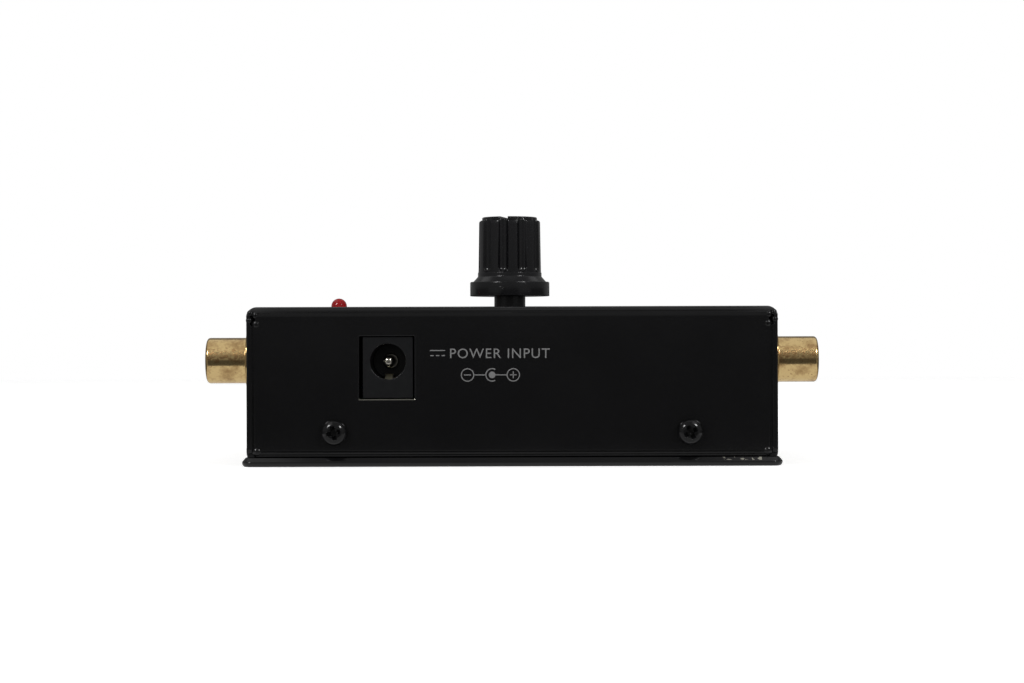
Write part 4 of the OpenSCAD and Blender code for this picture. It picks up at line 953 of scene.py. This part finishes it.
def front_marks():
    """Direct current sign, a plain label and the sign for a positive centre pin."""
    minus_x, centre_x, plus_x = POLARITY_X
    marks = [bar(MARK_LEFT, MARK_LEFT + SUPPLY_MARK_W, SUPPLY_BAR_Z)]
    for i in range(3):
        x = MARK_LEFT + i * (SUPPLY_MARK_W - SUPPLY_DASH_L) / 2
        marks.append(bar(x, x + SUPPLY_DASH_L, SUPPLY_DASH_Z))
    marks.append(words("POWER INPUT", LABEL_H, LABEL_LEFT, LABEL_Z, spacing=LABEL_SPACING))
    for x in (minus_x, plus_x):
        marks.append(hoop(x, POLARITY_Z, POLARITY_R))
        marks.append(bar(x - POLARITY_ARM, x + POLARITY_ARM, POLARITY_Z))
    marks.append(block((plus_x - INK_LINE / 2, POLARITY_Z - POLARITY_ARM, 0),
                       (plus_x + INK_LINE / 2, POLARITY_Z + POLARITY_ARM, INK_T)))
    marks.append(dot(centre_x, POLARITY_Z, CENTRE_DOT_R))
    marks.append(hoop(centre_x, POLARITY_Z, POLARITY_R, sweep=240, start=60))
    clear = POLARITY_R + POLARITY_GAP
    marks.append(bar(minus_x + clear, centre_x - clear, POLARITY_Z))
    marks.append(bar(centre_x + CENTRE_DOT_R, plus_x - clear, POLARITY_Z))
    piece(put(joined(*marks), (0, COVER_LOW.y, 0), TURN_TO_FRONT), "front_print", "ink", sharp=30)


# Dial on the top
DIAL_R = 10.2
DIAL_TICK = 1.5
DIAL_FIGURE_R = 14
DIAL_FIGURE_H = 1.9
DIAL_SWEEP = 300
DIAL_MIDDLE = -90
DIAL_STEPS = 10


def top_marks():
    """Plain dial round the knob, from 0 to 10 clockwise, read from the side away from the inlet."""
    marks = []
    for i in range(DIAL_STEPS + 1):
        angle = radians(DIAL_MIDDLE + DIAL_SWEEP * (0.5 - i / DIAL_STEPS))
        tick = block((DIAL_R, -INK_LINE / 2, 0), (DIAL_R + DIAL_TICK, INK_LINE / 2, INK_T))
        marks.append(put(tick, (KNOB_AXIS.x, KNOB_AXIS.y, 0), Matrix.Rotation(angle, 4, "Z")))
        x = KNOB_AXIS.x + DIAL_FIGURE_R * cos(angle)
        y = KNOB_AXIS.y + DIAL_FIGURE_R * sin(angle)
        marks.append(words(str(i), DIAL_FIGURE_H, x, y + DIAL_FIGURE_H / 2, "CENTER", turn=pi))
    piece(put(joined(*marks), (0, 0, COVER_HIGH.z)), "top_print", "ink", sharp=30)


def dress_nodes():
    """Every node that still shows gets the finish that the record's slot names."""
    for node in nodes.values():
        for slot in node.material_slots:
            slot.material = LOOKS[slot.material.name.split(".")[0]]


# Studio
FLOOR_HALF = 900
PAPER_HALF_X = 82
PAPER_HALF_Y = 58
SHADE_HALF_X = 49
SHADE_FROM_Y = 35.2
# The lower and upper face of the paper, and of its shaded strips, which lie a little above it
PAPER_Z = (-1, -0.06)
SHADE_Z = (-0.9, -0.05)
CARD_T = 4
CARD_AT = 620
CARD_FOOT = -560
CARD_TOP = 690
DARK_CARD_AT = 600
DARK_CARD_HALF = 300
DARK_CARD_TOP = 55
CANOPY_HALF_X = 55
CANOPY_HALF_Y = 145
CANOPY_BRIGHT_Y = (18, 43)
CANOPY_Z = 110
PAPER_GLOW = 0.59
SHADE_GLOW = 0.4
DARK_CARD_GLOW = 0.06
GREY_CARD_GLOW = 0.21
CANOPY_GLOW = (0.19, 0.42)
CEILING_GLOW = 0.61
LAMP_PLACES = ((-420, -490, 290), (420, -490, 290), (-430, 300, 440), (430, 300, 440))
LAMP_SIZE = 210
LAMP_POWER = (1.7, 1.7, 0.8, 0.8)
GLINT_PLACES = ((-430, -500, 470), (430, -500, 470))
GLINT_SIZE = 180
GLINT_POWER = 1.7
WORLD_ON_OBJECT = 0.42
FLOOR_LIFT = 0.55


def glow(name, strength):
    """A surface that shows one plain tone in reflections, whatever light falls on it."""
    look = bpy.data.materials.new(name)
    look.use_nodes = True
    tree = look.node_tree
    end = tree.nodes["Material Output"].inputs["Surface"]
    add(tree, "ShaderNodeEmission", inputs={"Color": (1, 1, 1, 1), "Strength": strength}, into=[end])
    return look


def only_in_reflections(bm, name, look):
    """A sheet or card of the studio that only glossy rays meet."""
    made = object_from(put(bm, turn=Matrix.Scale(MM, 4)), name)
    made.data.materials.append(look)
    for ray in ("camera", "diffuse", "transmission", "shadow"):
        setattr(made, f"visible_{ray}", False)


def pale_floor():
    """A large matt floor that stays out of reflections, and the paper that is seen in them instead:
    white under the sockets, grey where the case keeps the light off it."""
    look, tree, shader, place = new_look("pale matt floor", "#e9e9e9", 0.9)
    mottle = add(tree, "ShaderNodeTexNoise",
                 inputs={"Vector": place, "Scale": per_metre(60), "Detail": 2.0})
    add(tree, "ShaderNodeMix", {"data_type": "RGBA"},
        {0: mottle, 6: linear("#e7e7e7"), 7: linear("#ebebeb")}, gives=2, into=[shader["Base Color"]])
    seen = add(tree, "ShaderNodeLightPath", gives="Is Camera Ray")
    add(tree, "ShaderNodeMath", {"operation": "MULTIPLY"}, {0: seen, 1: FLOOR_LIFT},
        into=[shader["Emission Strength"]])
    shader["Emission Color"].default_value = (1, 1, 1, 1)
    bm = bmesh.new()
    bmesh.ops.create_grid(bm, x_segments=1, y_segments=1, size=FLOOR_HALF * MM)
    floor = object_from(bm, "floor")
    floor.data.materials.append(look)
    floor.visible_glossy = False
    paper = block((-PAPER_HALF_X, -PAPER_HALF_Y, PAPER_Z[0]), (PAPER_HALF_X, PAPER_HALF_Y, PAPER_Z[1]))
    only_in_reflections(paper, "white_paper", glow("white paper in reflections", PAPER_GLOW))
    shade = glow("paper in the case's shade", SHADE_GLOW)
    for i, y in enumerate((-PAPER_HALF_Y, SHADE_FROM_Y)):
        strip = block((-SHADE_HALF_X, y, SHADE_Z[0]),
                      (SHADE_HALF_X, y + PAPER_HALF_Y - SHADE_FROM_Y, SHADE_Z[1]))
        only_in_reflections(strip, f"paper_in_shade_{i}", shade)


def studio_cards():
    """Grey cards on all sides under a pale ceiling, each with a dark strip up to just over the case,
    which keeps its upright sides black. A grey canopy hangs over the case and leaves the sockets free,
    with a paler strip on each side of its middle."""
    grey = glow("grey studio card", GREY_CARD_GLOW)
    dark = glow("dark studio card", DARK_CARD_GLOW)
    for i in range(4):
        turn = Matrix.Rotation(i * pi / 2, 4, "Z")
        card = block((-CARD_AT - CARD_T, CARD_AT, CARD_FOOT),
                     (CARD_AT + CARD_T, CARD_AT + CARD_T, CARD_TOP))
        only_in_reflections(put(card, turn=turn), f"grey_card_{i}", grey)
        strip = block((-DARK_CARD_HALF, DARK_CARD_AT, CARD_FOOT),
                      (DARK_CARD_HALF, DARK_CARD_AT + CARD_T, DARK_CARD_TOP))
        only_in_reflections(put(strip, turn=turn), f"dark_card_{i}", dark)
    plain, pale = (glow(f"grey studio canopy {tone}", tone) for tone in CANOPY_GLOW)
    near, far = CANOPY_BRIGHT_Y
    ends = (-CANOPY_HALF_Y, -far, -near, near, far, CANOPY_HALF_Y)
    for i, (y1, y2) in enumerate(zip(ends, ends[1:])):
        canopy = block((-CANOPY_HALF_X, y1, CANOPY_Z), (CANOPY_HALF_X, y2, CANOPY_Z + CARD_T))
        only_in_reflections(canopy, f"canopy_{i}", pale if i % 2 else plain)
    ceiling = block((-CARD_AT, -CARD_AT, CARD_TOP), (CARD_AT, CARD_AT, CARD_TOP + CARD_T))
    only_in_reflections(ceiling, "pale_ceiling", glow("pale studio ceiling", CEILING_GLOW))


def lamp_at(name, place, size, power):
    """One square lamp that points at the object."""
    data = bpy.data.lights.new(name, "AREA")
    data.shape = "SQUARE"
    data.size = size * MM
    data.energy = power
    made = bpy.data.objects.new(name, data)
    made.location = Vector(place) * MM
    made.rotation_euler = (-Vector(place)).to_track_quat("-Z", "Y").to_euler()
    bpy.context.scene.collection.objects.link(made)
    return made


def lamps():
    """Soft boxes above the corners, the two in front the stronger, and two more in front that only
    give the curved pieces their glints."""
    for i, (place, power) in enumerate(zip(LAMP_PLACES, LAMP_POWER)):
        lamp_at(f"soft_box_{i}", place, LAMP_SIZE, power).visible_glossy = False
    for i, place in enumerate(GLINT_PLACES):
        lamp_at(f"glint_{i}", place, GLINT_SIZE, GLINT_POWER).visible_diffuse = False


def white_world():
    """White to the camera and in reflections, and a softer fill on the object."""
    world = bpy.data.worlds.new("studio")
    bpy.context.scene.world = world
    world.use_nodes = True
    tree = world.node_tree
    path = add(tree, "ShaderNodeLightPath").node.outputs
    seen = path["Is Camera Ray"]
    for ray in ("Is Glossy Ray", "Is Transmission Ray"):
        seen = add(tree, "ShaderNodeMath", {"operation": "MAXIMUM"}, {0: seen, 1: path[ray]})
    background = tree.nodes["Background"].inputs
    background["Color"].default_value = (1, 1, 1, 1)
    add(tree, "ShaderNodeMapRange", inputs={"Value": seen, "To Min": WORLD_ON_OBJECT},
        into=[background["Strength"]])


top_cover()
base_panel()
case_screws()
power_inlet()
for side, sx in (("input", -1), ("output", 1)):
    for channel in ("left", "right"):
        socket_pieces(side, sx, channel)
volume_knob()
lamp()
front_marks()
top_marks()
dress_nodes()
pale_floor()
studio_cards()
lamps()
white_world()
bpy.context.scene.view_settings.view_transform = "Standard"
